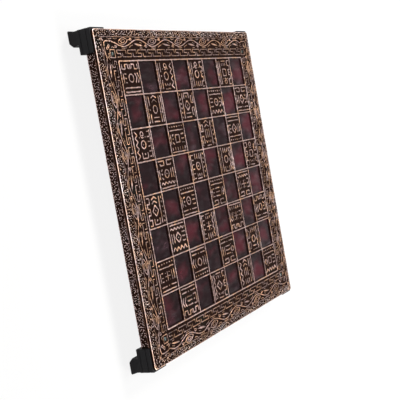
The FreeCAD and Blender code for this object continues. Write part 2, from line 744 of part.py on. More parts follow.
def make_foot_screws():
    """One screw in each foot, pointing up, with its flat head under the cap."""
    body = new_body("foot_screws")
    body.AllowCompound = True
    section = new_sketch(body, "screw_section", f"(-{SCREW_PLACE})", "XZ_Plane")
    head = f"({SCREW_PLACE} + screw_head_radius)"
    shank = f"({SCREW_PLACE} + screw_radius)"
    underside = "(leg_height - screw_head_height)"
    tip = "(leg_height + screw_length)"
    add_polygon(section, [
        (SCREW_PLACE, underside),
        (head, underside),
        (head, "leg_height"),
        (shank, "leg_height"),
        (shank, f"({tip} - screw_tip)"),
        (SCREW_PLACE, tip),
    ])
    turned = body.newObject("PartDesign::Revolution", "screw")
    turned.Profile = section
    turned.ReferenceAxis = (section, ["Edge6"])
    turned.Angle = 360
    doc.recompute()
    repeat(body, "screws", turned, [turn_pattern(body, "screw_turns", 360, 4)])
    return body


def check_and_write(bodies):
    for item in doc.Objects:
        if "Invalid" in item.State or "Error" in item.State:
            raise RuntimeError(f"{item.Name} of {item.Label} failed: {item.State}")
    os.makedirs("parts", exist_ok=True)
    for body in bodies:
        shape = body.Shape
        if shape.isNull() or not shape.isValid():
            raise RuntimeError(f"{body.Label} has no valid shape")
        shape.exportStep(f"parts/{body.Label}.step")
        box = shape.BoundBox
        print(f"{body.Label}: {len(shape.Solids)} solid, {shape.Volume:.1f} mm3, "
              f"z {box.ZMin:.2f} to {box.ZMax:.2f}")


fill_sheet()
made = [make_relief_plate(), make_core_board(), make_felt_lining(), make_foot_screws()]
for side in QUARTER_TURNS:
    made.append(make_edge_strip(side))
for corner in CORNERS:
    made.append(make_corner_foot(corner))
for file in range(len(FILES)):
    for rank in range(len(FILES)):
        if (file + rank) % 2 == 0:
            made.append(make_enamel(file, rank))
doc.recompute()
check_and_write(made)
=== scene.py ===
"""Dresses the enamel chessboard: the cast relief plate with its ornament, the enamel, the
edging, the feet, the lining and the screws. Drawings and points are in millimetres from the
middle of the board. The frame's boxes, the user's sizes and the nodes are in metres."""

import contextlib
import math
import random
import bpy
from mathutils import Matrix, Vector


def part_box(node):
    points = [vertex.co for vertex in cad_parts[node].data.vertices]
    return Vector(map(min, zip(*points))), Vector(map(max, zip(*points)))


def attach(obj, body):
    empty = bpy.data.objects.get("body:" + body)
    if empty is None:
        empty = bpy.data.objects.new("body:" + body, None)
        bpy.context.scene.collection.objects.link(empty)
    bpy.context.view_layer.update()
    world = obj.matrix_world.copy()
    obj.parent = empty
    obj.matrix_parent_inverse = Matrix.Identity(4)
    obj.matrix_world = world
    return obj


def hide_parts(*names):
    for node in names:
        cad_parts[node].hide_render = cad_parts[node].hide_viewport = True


bl_info = {
    "name": "Enamel chessboard",
    "version": (1, 0, 0),
    "blender": (4, 5, 0),
    "location": "3D View > Sidebar > Chessboard",
    "description": "Builds an enamel chessboard piece by piece",
    "category": "Add Mesh",
}

import bmesh
import bpy
from bpy.props import FloatProperty, FloatVectorProperty, IntProperty, PointerProperty
from mathutils import Matrix, Vector, noise

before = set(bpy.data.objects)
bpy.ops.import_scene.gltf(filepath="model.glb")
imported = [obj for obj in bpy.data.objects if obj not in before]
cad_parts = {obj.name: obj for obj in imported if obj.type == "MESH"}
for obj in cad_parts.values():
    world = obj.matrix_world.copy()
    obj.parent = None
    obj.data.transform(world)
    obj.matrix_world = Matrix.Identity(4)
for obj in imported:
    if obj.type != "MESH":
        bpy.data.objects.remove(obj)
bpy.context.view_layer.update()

MM = 0.001
QUARTER = math.pi / 2
FILES = "abcdefgh"
SIDES = ("right", "back", "left", "front")
CORNERS = ("back_right", "back_left", "front_left", "front_right")
PLATE_LOW, PLATE_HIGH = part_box("relief_plate")
STRIP_LOW, STRIP_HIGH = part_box("edge_strip_right")
SCREW_LOW, SCREW_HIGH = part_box("foot_screws")
FOOT_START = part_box("corner_foot_back_right")[0].x / MM  # how far the edging is seen

# The plate, outwards from the middle of the board
PITCH = 28.0  # one square and its ridge
RIDGE_HALF = 0.7
FIELD_HALF = 4 * PITCH
GRID_LINES = [k * PITCH - FIELD_HALF + side * RIDGE_HALF for k in range(9) for side in (-1, 1)]
KEY_MIDDLE = FIELD_HALF + 6.5
KEY_ROW = 2.8  # from the middle of the key band to its two outer rows
BOX_HALF, BOX_LINE, BOX_GAP = 3.3, 1.2, 1.65  # boxes in the key band's corners
PLATE_HALF = PLATE_HIGH.x / MM
SUNKEN_HALF = PLATE_HALF - 6.4  # inner edge of the sloping band
VINE_MIDDLE = (KEY_MIDDLE + KEY_ROW + SUNKEN_HALF) / 2 + 0.2
BORDER_START, BORDER_FULL = 0.113, 0.119  # where the copper turns yellower, in metres
RIM_START, RIM_FULL = 0.130, 0.134  # where it turns brighter

# The plate, upwards
FULL_RELIEF = 1.05  # the highest ridges above the ground
RELIEF = 0.95  # the vine above the ground
SINK = 0.12  # how far raised lines reach into the ground
TOP = PLATE_HIGH.z / MM
GROUND = TOP - FULL_RELIEF
POCKET_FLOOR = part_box("enamel_a1")[0].z / MM
BAND_LOW = PLATE_LOW.z / MM + 1.3  # outer edge of the sloping band
BAND_RISE = 1.5

WHOLE = 99.0  # step of a drawn line that has no points between its corners
MARK_KINDS = 5  # of the rough texture
FLOOR_HALF = 9000.0


# Sizes and colours that a user would change

def length(name, default, description):
    return FloatProperty(name=name, description=description, default=default * MM,
                         min=0.0, unit="LENGTH", subtype="DISTANCE", precision=5)


def colour(name, default, description):
    return FloatVectorProperty(name=name, description=description, default=default,
                               size=3, min=0.0, max=1.0, subtype="COLOR")


class BoardSizes(bpy.types.PropertyGroup):
    ridge_width: length("Ridge width", 1.4, "Ridges between the squares")
    frame_ridge_width: length("Frame ridge width", 1.6, "Ridge that frames the field")
    ridge_height: length("Ridge height", FULL_RELIEF, "Ridges above the ground of the plate")
    key_line: length("Key line", 1.15, "Line of the key band")
    key_height: length("Key height", 0.88, "Key band above the ground of the plate")
    key_count: IntProperty(name="Key count", description="S shapes along one side",
                           default=15, min=3)
    ornament_line: length("Ornament line", 1.6, "Lines in the cast squares")
    ornament_height: length("Ornament height", 0.95, "Lines in the cast squares, raised")
    vine_line: length("Vine line", 1.4, "Stem of the vine scroll")
    vine_count: IntProperty(name="Vine count", description="Repeats of the vine on a side",
                            default=5, min=1)
    waviness: length("Waviness", 0.34, "How far cast lines wander from their drawing")
    mark_spacing: length("Mark spacing", 1.35, "Marks of the rough texture, one to the next")
    mark_height: length("Mark height", 0.45, "Marks of the rough texture, raised")
    enamel_wave: length("Enamel wave", 0.05, "Unevenness of the enamel's surface")
    foot_edge: length("Foot edge", 0.3, "Rounded edges of the feet")


class BoardColours(bpy.types.PropertyGroup):
    copper: colour("Copper", (0.52, 0.35, 0.32), "Rubbed copper")
    golden_copper: colour("Golden copper", (0.65, 0.37, 0.235), "Yellower patches of the copper")
    # Painted highlight: a near-white colour on the highest crests stands in for the lamps' glint
    # on polished copper
    bright_copper: colour("Bright copper", (0.96, 0.92, 0.92), "Copper on the highest edges")
    patina: colour("Patina", (0.013, 0.0042, 0.0022), "Dark patina in the recesses")
    verdigris: colour("Verdigris", (0.006, 0.014, 0.012), "Green tint in the deepest recesses")
    enamel_dark: colour("Dark enamel", (0.017, 0.0085, 0.010), "Enamel between its clouds")
    enamel_red: colour("Red enamel", (0.088, 0.017, 0.025), "Red clouds in the enamel")
    # Painted reflection: the violet clouds stand in for a soft sheen of the surroundings on the
    # glaze
    enamel_violet: colour("Violet enamel", (0.075, 0.040, 0.050), "Violet clouds in the enamel")
    plastic: colour("Plastic", (0.009, 0.009, 0.010), "Moulded feet")
    felt: colour("Felt", (0.030, 0.024, 0.022), "Lining")
    wood: colour("Core", (0.36, 0.22, 0.12), "Wooden core")
    steel: colour("Steel", (0.42, 0.42, 0.43), "Screws")
    floor: colour("Floor", (0.87, 0.87, 0.87), "Floor of the stage")


# Node trees

class Value:
    """A socket that takes part in sums, and makes a Math node for each."""

    def __init__(self, nodes, socket):
        self.nodes = nodes
        self.socket = socket

    def __add__(self, other):
        return self.nodes.maths("ADD", self, other)

    def __sub__(self, other):
        return self.nodes.maths("SUBTRACT", self, other)

    def __rsub__(self, other):
        return self.nodes.maths("SUBTRACT", other, self)

    def __mul__(self, other):
        return self.nodes.maths("MULTIPLY", self, other)

    def __truediv__(self, other):
        return self.nodes.maths("DIVIDE", self, other)

    def __rtruediv__(self, other):
        return self.nodes.maths("DIVIDE", other, self)

    __radd__ = __add__
    __rmul__ = __mul__


class Nodes:
    """Adds nodes to a tree and joins them up."""

    def __init__(self, tree):
        self.tree = tree

    def add(self, kind, settings=None, sockets=None, output=0):
        """Settings come first, because they change which sockets there are. Sockets are named
        by identifier, name or number."""
        node = self.tree.nodes.new(kind)
        for name, setting in (settings or {}).items():
            setattr(node, name, setting)
        for name, given in (sockets or {}).items():
            socket = self.find(node.inputs, name)
            if isinstance(given, Value):
                self.tree.links.new(given.socket, socket)
            else:
                socket.default_value = given
        return Value(self, self.find(node.outputs, output))

    def other(self, value, output):
        """Another output of the node that a value comes from."""
        return Value(self, self.find(value.socket.node.outputs, output))

    def end(self, kind, value):
        """Last node of the tree."""
        self.tree.links.new(value.socket, self.tree.nodes.new(kind).inputs[0])

    @staticmethod
    def find(sockets, name):
        if isinstance(name, int):
            return sockets[name]
        for socket in sockets:
            if socket.identifier == name:
                return socket
        return next(socket for socket in sockets if socket.name == name and socket.enabled)

    def maths(self, operation, *numbers):
        return self.add("ShaderNodeMath", {"operation": operation}, dict(enumerate(numbers)))

    def vectors(self, operation, *given, output=0):
        return self.add("ShaderNodeVectorMath", {"operation": operation},
                        dict(enumerate(given)), output)

    def vector(self, x=0.0, y=0.0, z=0.0):
        return self.add("ShaderNodeCombineXYZ", {}, {"X": x, "Y": y, "Z": z})

    def parts(self, vector):
        """X, Y and Z of a vector."""
        x = self.add("ShaderNodeSeparateXYZ", {}, {0: vector})
        return x, self.other(x, "Y"), self.other(x, "Z")

    def mix(self, factor, first, second):
        """Mix of two colours."""
        return self.add("ShaderNodeMix", {"data_type": "RGBA"},
                        {"Factor_Float": factor, "A_Color": first, "B_Color": second},
                        "Result_Color")

    def ramp(self, value, low, high, start=0.0, end=1.0):
        """Value from low to high, brought to start to end along a smooth step."""
        return self.add("ShaderNodeMapRange", {"interpolation_type": "SMOOTHSTEP"},
                        {"Value": value, "From Min": low, "From Max": high,
                         "To Min": start, "To Max": end})

    def clouds(self, vector, scale, detail=3.0, distortion=0.0, output="Fac"):
        return self.add("ShaderNodeTexNoise", {},
                        {"Vector": vector, "Scale": scale, "Detail": detail,
                         "Distortion": distortion}, output)

    def bump(self, height, strength, distance):
        return self.add("ShaderNodeBump", {}, {"Strength": strength, "Distance": distance,
                                               "Height": height})

    def shader(self, paint, roughness, sockets):
        return self.add("ShaderNodeBsdfPrincipled", {},
                        {"Base Color": paint, "Roughness": roughness, **sockets})

    def named(self, attribute, kind="FLOAT"):
        return self.add("GeometryNodeInputNamedAttribute", {"data_type": kind},
                        {"Name": attribute})

    def store(self, geometry, name, value):
        return self.add("GeometryNodeStoreNamedAttribute",
                        {"data_type": "FLOAT", "domain": "POINT"},
                        {"Geometry": geometry, "Name": name, "Value": value})

    def move(self, geometry, how, vector):
        """Geometry put at a Position, or moved by an Offset."""
        return self.add("GeometryNodeSetPosition", {}, {"Geometry": geometry, how: vector})

    def copies(self, points, copied, angle=0.0):
        """Copies on points, each turned about the upright axis."""
        turn = self.add("FunctionNodeEulerToRotation", {}, {"Euler": self.vector(z=angle)})
        return self.add("GeometryNodeInstanceOnPoints", {},
                        {"Points": points, "Instance": copied, "Rotation": turn})

    def chance(self, low, high, seed):
        """Random number for each point, a whole one where its limits are whole."""
        kind, end = ("INT", "002") if isinstance(low, int) else ("FLOAT", "001")
        return self.add("FunctionNodeRandomValue", {"data_type": kind},
                        {f"Min_{end}": low, f"Max_{end}": high, "Seed": seed}, f"Value_{end}")


def fresh_nodes(owner):
    """Emptied node tree of a material or a world."""
    owner.use_nodes = True
    owner.node_tree.nodes.clear()
    return Nodes(owner.node_tree)


def geometry_tree(name, **inputs):
    """Node tree for a modifier, with its named inputs as values."""
    tree = bpy.data.node_groups.new(name, "GeometryNodeTree")
    tree.interface.new_socket("Geometry", in_out="OUTPUT", socket_type="NodeSocketGeometry")
    for label, kind in {"Geometry": "Geometry", **inputs, "Material": "Material"}.items():
        tree.interface.new_socket(label, in_out="INPUT", socket_type=f"NodeSocket{kind}")
    nodes = Nodes(tree)
    entry = tree.nodes.new("NodeGroupInput")
    return nodes, {socket.name: Value(nodes, socket) for socket in entry.outputs if socket.name}


def close_tree(nodes, geometry, given):
    """Last nodes of every tree: real geometry, smooth faces and the finish."""
    real = nodes.add("GeometryNodeRealizeInstances", {}, {"Geometry": geometry})
    smoothed = nodes.add("GeometryNodeSetShadeSmooth", {}, {"Geometry": real})
    nodes.end("NodeGroupOutput", nodes.add("GeometryNodeSetMaterial", {}, {
        "Geometry": smoothed, "Material": given["Material"]}))
    return nodes.tree


def raised_lines_tree():
    """Turns drawn lines into raised ones with a round back. The drawing is repeated along a
    row and then round the sides of the board, and then wanders and swells a little, as a
    casting does."""
    wander_scale, swell_scale = 260.0, 330.0
    nodes, given = geometry_tree("raised_lines_tree", Repeats="Int", Pitch="Float", Sides="Int",
                                 Rounding="Float", Waviness="Float", Level="Float")
    drawn = nodes.add("GeometryNodeMeshToCurve", {}, {"Mesh": given["Geometry"]})
    rounded = nodes.add("GeometryNodeFilletCurve", {"mode": "POLY"}, {
        "Curve": drawn, "Count": 3, "Radius": given["Rounding"], "Limit Radius": True})
    first = (1.0 - given["Repeats"]) * given["Pitch"] * 0.5
    row = nodes.add("GeometryNodeMeshLine", {}, {
        "Count": given["Repeats"], "Start Location": nodes.vector(first),
        "Offset": nodes.vector(given["Pitch"])})
    sides = nodes.add("GeometryNodeMeshLine", {}, {
        "Count": given["Sides"], "Offset": (0.0, 0.0, 0.0)})
    turned = nodes.copies(sides, nodes.copies(row, rounded),
                          nodes.add("GeometryNodeInputIndex") * QUARTER)
    lines = nodes.add("GeometryNodeRealizeInstances", {}, {"Geometry": turned})
    place = nodes.add("GeometryNodeInputPosition")
    reach = given["Waviness"] * 2.0
    wander = nodes.vectors("SUBTRACT", nodes.clouds(place, wander_scale, 1.0, output="Color"),
                           (0.5, 0.5, 0.5))
    wavy = nodes.move(lines, "Offset",
                      nodes.vectors("MULTIPLY", wander, nodes.vector(reach, reach)))
    upright = nodes.add("GeometryNodeSetCurveNormal", {"mode": "Z_UP"}, {"Curve": wavy})
    arc = nodes.add("GeometryNodeCurveArc", {"mode": "RADIUS"}, {
        "Resolution": 5, "Radius": 1.0, "Start Angle": 0.0, "Sweep Angle": -math.pi})
    profile = nodes.add("GeometryNodeSetSplineCyclic", {}, {"Geometry": arc, "Cyclic": True})
    half_width = nodes.named("half_width")
    uneven = nodes.ramp(nodes.clouds(place, swell_scale, 1.0), 0.3, 0.7, 0.78, 1.22)
    body = nodes.add("GeometryNodeCurveToMesh", {}, {
        "Curve": nodes.store(upright, "half_width", half_width * uneven),
        "Profile Curve": profile, "Scale": half_width, "Fill Caps": True})
    across, along, up = nodes.parts(place)
    steepness = (nodes.named("height") + SINK * MM) / half_width
    lifted = up * steepness + (given["Level"] - SINK * MM)
    raised = nodes.move(body, "Position", nodes.vector(across, along, lifted))
    relief = (up - given["Level"]) / (FULL_RELIEF * MM)
    return close_tree(nodes, nodes.store(raised, "relief", relief), given)


def rough_texture_tree():
    """Scatters short raised marks over faces, each turned its own way and cut off at the
    edges of what carries it."""
    nodes, given = geometry_tree("rough_texture_tree", Marks="Object", Spacing="Float",
                                 Seed="Int", Lowest="Vector", Highest="Vector")
    spacing, seed = given["Spacing"], given["Seed"]
    spread = nodes.add("GeometryNodeDistributePointsOnFaces", {"distribute_method": "POISSON"}, {
        "Mesh": given["Geometry"], "Distance Min": spacing,
        "Density Max": 1.0 / (spacing * spacing * 0.6), "Seed": seed})
    source = nodes.add("GeometryNodeObjectInfo", {}, {"Object": given["Marks"]}, "Geometry")
    kinds = nodes.add("GeometryNodeSplitToInstances", {"domain": "POINT"}, {
        "Geometry": source, "Group ID": nodes.named("kind", "INT")})
    turn = nodes.add("FunctionNodeAxisAngleToRotation", {}, {
        "Axis": (0.0, 0.0, 1.0), "Angle": nodes.chance(0.0, 2 * math.pi, seed + 1)})
    facing = nodes.add("FunctionNodeRotateRotation", {"rotation_space": "LOCAL"}, {
        "Rotation": nodes.other(spread, "Rotation"), "Rotate By": turn})
    placed = nodes.add("GeometryNodeInstanceOnPoints", {}, {
        "Points": spread, "Instance": kinds, "Pick Instance": True,
        "Instance Index": nodes.chance(0, MARK_KINDS - 1, seed), "Rotation": facing,
        "Scale": nodes.chance(0.8, 1.15, seed + 2)})
    marks = nodes.add("GeometryNodeRealizeInstances", {}, {"Geometry": placed})
    raised = nodes.vectors("MAXIMUM", nodes.add("GeometryNodeInputPosition"), given["Lowest"])
    within = nodes.vectors("MINIMUM", raised, given["Highest"])
    return close_tree(nodes, nodes.move(marks, "Position", within), given)


def placed_copies_tree():
    """Sets a copy of an object on each point, turned by the point's own angle."""
    nodes, given = geometry_tree("placed_copies_tree", Copy="Object")
    source = nodes.add("GeometryNodeObjectInfo", {"transform_space": "ORIGINAL"},
                       {"Object": given["Copy"], "As Instance": True}, "Geometry")
    return close_tree(nodes, nodes.copies(given["Geometry"], source, nodes.named("turn")), given)


# Pieces

def add_object(name, mesh):
    piece = bpy.data.objects.new(name, mesh)
    bpy.context.scene.collection.objects.link(piece)
    return piece


def mesh_from(name, points, faces, relief=None, edges=()):
    """Mesh from points in millimetres, with the relief value that the copper finish reads."""
    mesh = bpy.data.meshes.new(name)
    mesh.from_pydata([Vector(point) * MM for point in points], edges, faces)
    if relief:
        store(mesh, "relief", relief)
    return mesh


def store(mesh, name, values, kind="FLOAT"):
    mesh.attributes.new(name, kind, "POINT").data.foreach_set("value", values)


@contextlib.contextmanager
def editing(mesh):
    """A mesh opened for editing, and written back afterwards."""
    work = bmesh.new()
    work.from_mesh(mesh)
    yield work
    work.to_mesh(mesh)
    work.free()


def face_outwards(mesh, merge=0.0):
    """Joins doubled points and turns every closed shell's faces outwards."""
    with editing(mesh) as work:
        if merge:
            bmesh.ops.remove_doubles(work, verts=work.verts, dist=merge)
        bmesh.ops.recalc_face_normals(work, faces=work.faces)


def smooth(mesh, angle):
    """Smooths a mesh, apart from edges sharper than an angle in degrees."""
    for face in mesh.polygons:
        face.use_smooth = True
    mesh.set_sharp_from_angle(angle=math.radians(angle))


def square(half, middle=0.0):
    """Corners of a square, round from the one at the back right."""
    return [(middle + x * half, middle + y * half)
            for x, y in ((1, 1), (-1, 1), (-1, -1), (1, -1))]


def circle(radius, count):
    return [(radius * math.cos(angle), radius * math.sin(angle))
            for angle in (2 * math.pi * n / count for n in range(count))]


def walls(low, high, count):
    """Faces between two rings of points, given the number of each ring's first point."""
    return [(low + n, low + (n + 1) % count, high + (n + 1) % count, high + n)
            for n in range(count)]


def solid(name, points, faces, material, angle, relief=None, merge=0.0):
    """Finished piece from points, with its faces outwards."""
    mesh = mesh_from(name, points, faces, relief)
    mesh.materials.append(finish(material))
    face_outwards(mesh, merge)
    smooth(mesh, angle)
    return add_object(name, mesh)


def grow(name, mesh, make_tree, **inputs):
    """Piece that a node tree, built once, grows from a starting mesh."""
    piece = add_object(name, mesh)
    tree = bpy.data.node_groups.get(make_tree.__name__) or make_tree()
    modifier = piece.modifiers.new("grow", "NODES")
    modifier.node_group = tree
    labels = {item.name: item.identifier for item in tree.interface.items_tree
              if item.in_out == "INPUT"}
    for label, value in inputs.items():
        modifier[labels[label]] = value
    bpy.context.view_layer.update()
    graph = bpy.context.evaluated_depsgraph_get()
    grown = bpy.data.meshes.new_from_object(piece.evaluated_get(graph), depsgraph=graph)
    piece.modifiers.clear()
    piece.data = grown
    grown.name = name
    bpy.data.meshes.remove(mesh)
    if grown.materials[0] is None:
        grown.materials.pop(index=0)
    if not grown.polygons:
        raise RuntimeError(f"{name} came out empty")
    face_outwards(grown)
    return piece


def hand_over(piece, slot, *nodes):
    """Joins a finished piece to the board, and hides the solids it stands for."""
    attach(piece, "root")
    if nodes:
        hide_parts(*nodes)


class Drawing:
    """Lines on the plate, each with a half width and a height at every point."""

    def __init__(self):
        self.points = []
        self.edges = []
        self.half_widths = []
        self.heights = []

    def line(self, corners, width, height, closed=False, step=1.7):
        """Line through the corners, with narrowed ends unless it is closed."""
        corners = [Vector(corner) for corner in corners]
        if closed:
            corners.append(corners[0])
        path = []
        for start, end in zip(corners, corners[1:]):
            count = max(1, round((end - start).length / step))
            path += [start.lerp(end, number / count) for number in range(count)]
        widths = [width / 2] * len(path)
        if not closed:
            end, tip, taper = corners[-1], 0.2, 0.3
            path += [end - (end - path[-1]).normalized() * width * taper, end]
            path.insert(1, path[0] + (path[1] - path[0]).normalized() * width * taper)
            widths = [width * tip, *widths, width / 2, width * tip]
        self.stroke(path, widths, [height * w / (width / 2) for w in widths], closed)

    def stroke(self, path, half_widths, heights, closed=False):
        """Line with its own half width and height at every point."""
        first = len(self.points)
        last = first + len(path) - 1
        self.points += [(x, y, 0.0) for x, y in path]
        self.edges += [(number, number + 1) for number in range(first, last)]
        if closed:
            self.edges.append((last, first))
        self.half_widths += half_widths
        self.heights += heights

    def blob(self, middle, reach, half_width, height, angle=0.0, sections=7):
        """Almond or dome: a short stroke that is widest in its middle."""
        along = Vector((math.cos(angle), math.sin(angle)))
        blunt = 0.06  # how much of the half circle is left out at either end
        turns = [math.pi * (blunt + (1 - 2 * blunt) * n / (sections - 1))
                 for n in range(sections)]
        self.stroke([Vector(middle) - along * reach * math.cos(turn) for turn in turns],
                    [half_width * math.sin(turn) for turn in turns],
                    [height * math.sin(turn) ** 0.5 for turn in turns])

    def curl(self, middle, outer, inner, turns, start, width, height, sections):
        """Spiral from its outer end to its inner end."""
        path = []
        for share in (number / (sections - 1) for number in range(sections)):
            angle = start + 2 * math.pi * turns * share
            path.append(Vector(middle) + Vector((math.cos(angle), math.sin(angle)))
                        * (outer + (inner - outer) * share))
        self.line(path, width, height, step=WHOLE)

    def add(self, other, place=(0.0, 0.0), turn=0, mirrored=False):
        """Another drawing, mirrored, turned by quarter turns and then moved."""
        first = len(self.points)
        for x, y, z in other.points:
            if mirrored:
                x = -x
            for quarter in range(turn):
                x, y = -y, x
            self.points.append((x + place[0], y + place[1], z))
        self.edges += [(first + a, first + b) for a, b in other.edges]
        self.half_widths += other.half_widths
        self.heights += other.heights

    def mesh(self):
        drawn = mesh_from("drawing", self.points, [], edges=self.edges)
        store(drawn, "half_width", [width * MM for width in self.half_widths])
        store(drawn, "height", [height * MM for height in self.heights])
        return drawn


def raise_drawing(name, drawing, repeats=1, pitch=0.0, sides=1, rounding=0.35, waviness=0.0,
                  material="plate_copper"):
    """Piece of the plate made of a drawing's raised lines."""
    piece = grow(name, drawing.mesh(), raised_lines_tree, Repeats=repeats, Pitch=pitch * MM,
                 Sides=sides, Rounding=rounding * MM, Waviness=waviness, Level=GROUND * MM,
                 Material=finish(material))
    hand_over(piece, "patinated_copper")


# Finishes

def tint(name, strength=1.0):
    """One of the panel's colours, for a colour socket."""
    return (*(strength * part for part in getattr(bpy.context.scene.board_colours, name)), 1.0)


def copper(nodes, where, cool=0.0, raised=0.0):
    """Patinated copper under a thin lacquer. It is rubbed bright where the relief is high, with a
    near-white painted highlight on the highest crests, and stays dark, with a green tint in
    places, where it is low. It is yellower round the field, and a little brighter on the sloping
    band."""
    relief = nodes.add("ShaderNodeAttribute", {"attribute_name": "relief"}, output="Fac")
    patches = nodes.clouds(where, 60.0)
    tone = nodes.clouds(where, 130.0)
    specks = nodes.clouds(where, 620.0)
    grain = nodes.clouds(where, 2600.0, 2.0)
    across, along = (nodes.maths("ABSOLUTE", part) for part in nodes.parts(where)[:2])
    out = nodes.maths("MAXIMUM", across, along)
    border = nodes.ramp(out, BORDER_START, BORDER_FULL)
    rim = nodes.ramp(out, RIM_START, RIM_FULL)
    height = relief + (patches - 0.5) * 0.4 + (specks - 0.5) * 0.4 + rim * 0.11
    rubbed = nodes.ramp(height, 0.50 - raised, 0.92 - raised)
    # Painted highlight: the highest crests turn near-white, standing in for the glint of the
    # lamps
    painted_glint = nodes.ramp(height, 0.92 - raised, 1.2 - raised)
    deep = nodes.ramp(patches + (specks - 0.5) * 0.6, 0.54, 0.72)
    recess = nodes.mix(deep * 0.5, tint("patina"), tint("verdigris"))
    metal = nodes.mix(nodes.ramp(tone + border * 0.055, 0.49, 0.60), tint("copper"),
                      tint("golden_copper"))
    lit = nodes.mix(painted_glint * 0.8, metal, tint("bright_copper"))
    cooled = nodes.mix(cool, lit, (0.55, 0.25, 0.25, 1.0))
    rough = nodes.ramp(rubbed, 0.0, 1.0, 0.75, 0.33) + (grain - 0.5) * 0.2
    return nodes.shader(nodes.mix(rubbed, recess, cooled), rough, {
        "Metallic": nodes.ramp(rubbed, 0.0, 0.6), "Specular IOR Level": 0.04,
        "Normal": nodes.bump(specks + grain * 0.12, 0.7, 0.0003),
        "Coat Weight": rubbed * 0.35, "Coat Roughness": 0.25})


def strip_copper(nodes, where):
    """The edging's copper, cooler and more rubbed."""
    return copper(nodes, where, cool=0.35, raised=0.12)


def cloudy_enamel(nodes, where):
    """Fired enamel: dark glass with red and violet clouds drawn out along the board; the violet
    clouds paint in a soft sheen of the surroundings. The red gathers towards the middle of each
    square and is darker by its walls, a painted shade of the walls, and it is redder on the
    board's right."""
    drawn_out = nodes.add("ShaderNodeMapping", {}, {
        "Vector": where, "Rotation": (0.0, 0.0, math.radians(-9)), "Scale": (0.62, 1.25, 1.0)})
    swirl = nodes.vectors("MULTIPLY_ADD", nodes.clouds(where, 55.0, 2.0, output="Color"),
                          (0.010, 0.010, 0.0), drawn_out)
    across, along = nodes.parts(where)[:2]
    half_square = PITCH * MM / 2
    # Painted shade: the enamel is darker by the pocket walls and lighter towards the middle of
    # each square
    inside = nodes.maths("MINIMUM", nodes.maths("PINGPONG", across, half_square),
                         nodes.maths("PINGPONG", along, half_square))
    middle = nodes.ramp(inside, 0.0, half_square * 0.8, -0.09, 0.055)
    right = nodes.ramp(across, 0.03, 0.10, 0.0, 0.12)
    red = nodes.ramp(nodes.clouds(swirl, 42.0, 2.0) + middle + right, 0.44, 0.74)
    # Painted sheen: violet clouds stand in for a soft reflection of the surroundings
    violet = nodes.ramp(nodes.clouds(swirl, 71.0, 3.0, 0.4), 0.54, 0.76)
    deep = nodes.ramp(nodes.clouds(swirl, 33.0, 2.0), 0.50, 0.72)
    ground = nodes.mix(deep * 0.5, tint("enamel_dark"), tint("patina"))
    washed = nodes.mix(violet * 0.7, ground, tint("enamel_violet"))
    paint = nodes.mix(red * 0.8, washed, tint("enamel_red"))
    smear = nodes.ramp(nodes.clouds(swirl, 190.0), 0.35, 0.75, 0.10, 0.24)
    return nodes.shader(paint, smear, {"IOR": 1.5, "Coat Weight": 0.2, "Coat Roughness": 0.05})


def green_stud_glaze(nodes, where):
    """Glossy dark green glaze on the corner studs."""
    mottle = nodes.ramp(nodes.clouds(where, 700.0, 2.0), 0.4, 0.7)
    paint = nodes.mix(mottle, (0.008, 0.030, 0.026, 1.0), (0.030, 0.070, 0.060, 1.0))
    return nodes.shader(paint, nodes.ramp(mottle, 0.0, 1.0, 0.16, 0.3),
                        {"Coat Weight": 0.8, "Coat Roughness": 0.05})


def moulded_plastic(nodes, where):
    """Black moulded plastic with a fine spark-eroded grain and paler rubbed spots."""
    grain = nodes.clouds(where, 2200.0)
    rubbed = nodes.ramp(nodes.clouds(where, 150.0, 4.0), 0.55, 0.8)
    paint = nodes.mix(rubbed * 0.5, tint("plastic"), (0.024, 0.024, 0.025, 1.0))
    return nodes.shader(paint, 0.45 + grain * 0.25, {
        "Normal": nodes.bump(grain, 0.35, 0.00005), "Specular IOR Level": 0.14})


def pressed_felt(nodes, where):
    """Pressed felt: matted fibres, uneven in colour."""
    tangle = nodes.vectors("MULTIPLY_ADD", nodes.clouds(where, 900.0, 2.0, output="Color"),
                           (0.0012, 0.0012, 0.0012), where)
    fibres = nodes.clouds(tangle, 2400.0, 5.0, 1.2)
    patches = nodes.clouds(where, 60.0)
    paint = nodes.mix(nodes.ramp(fibres + (patches - 0.5) * 0.4, 0.35, 0.75),
                      tint("felt"), tint("felt", 1.9))
    return nodes.shader(paint, 0.86 + fibres * 0.14, {
        "Normal": nodes.bump(fibres, 0.9, 0.00025), "Sheen Weight": 0.35,
        "Sheen Roughness": 0.5})


def pressed_core(nodes, where):
    """Fibreboard core: pressed fibres, a little darker in streaks."""
    fibres = nodes.clouds(where, 1400.0, 4.0)
    long_grain = nodes.add("ShaderNodeMapping", {}, {"Vector": where, "Scale": (1.0, 9.0, 9.0)})
    streaks = nodes.clouds(long_grain, 60.0, 4.0)
    paint = nodes.mix(nodes.ramp(streaks + (fibres - 0.5) * 0.5, 0.3, 0.7),
                      tint("wood", 0.55), tint("wood"))
    return nodes.shader(paint, 0.7 + fibres * 0.2, {"Normal": nodes.bump(fibres, 0.4, 0.0001)})


def plated_steel(nodes, where):
    """Zinc-plated steel with a satin, slightly cloudy skin."""
    cloud = nodes.clouds(where, 900.0, 4.0)
    paint = nodes.mix(nodes.ramp(cloud, 0.35, 0.7), tint("steel"), (0.62, 0.61, 0.57, 1.0))
    return nodes.shader(paint, 0.28 + cloud * 0.2, {"Metallic": 1.0})


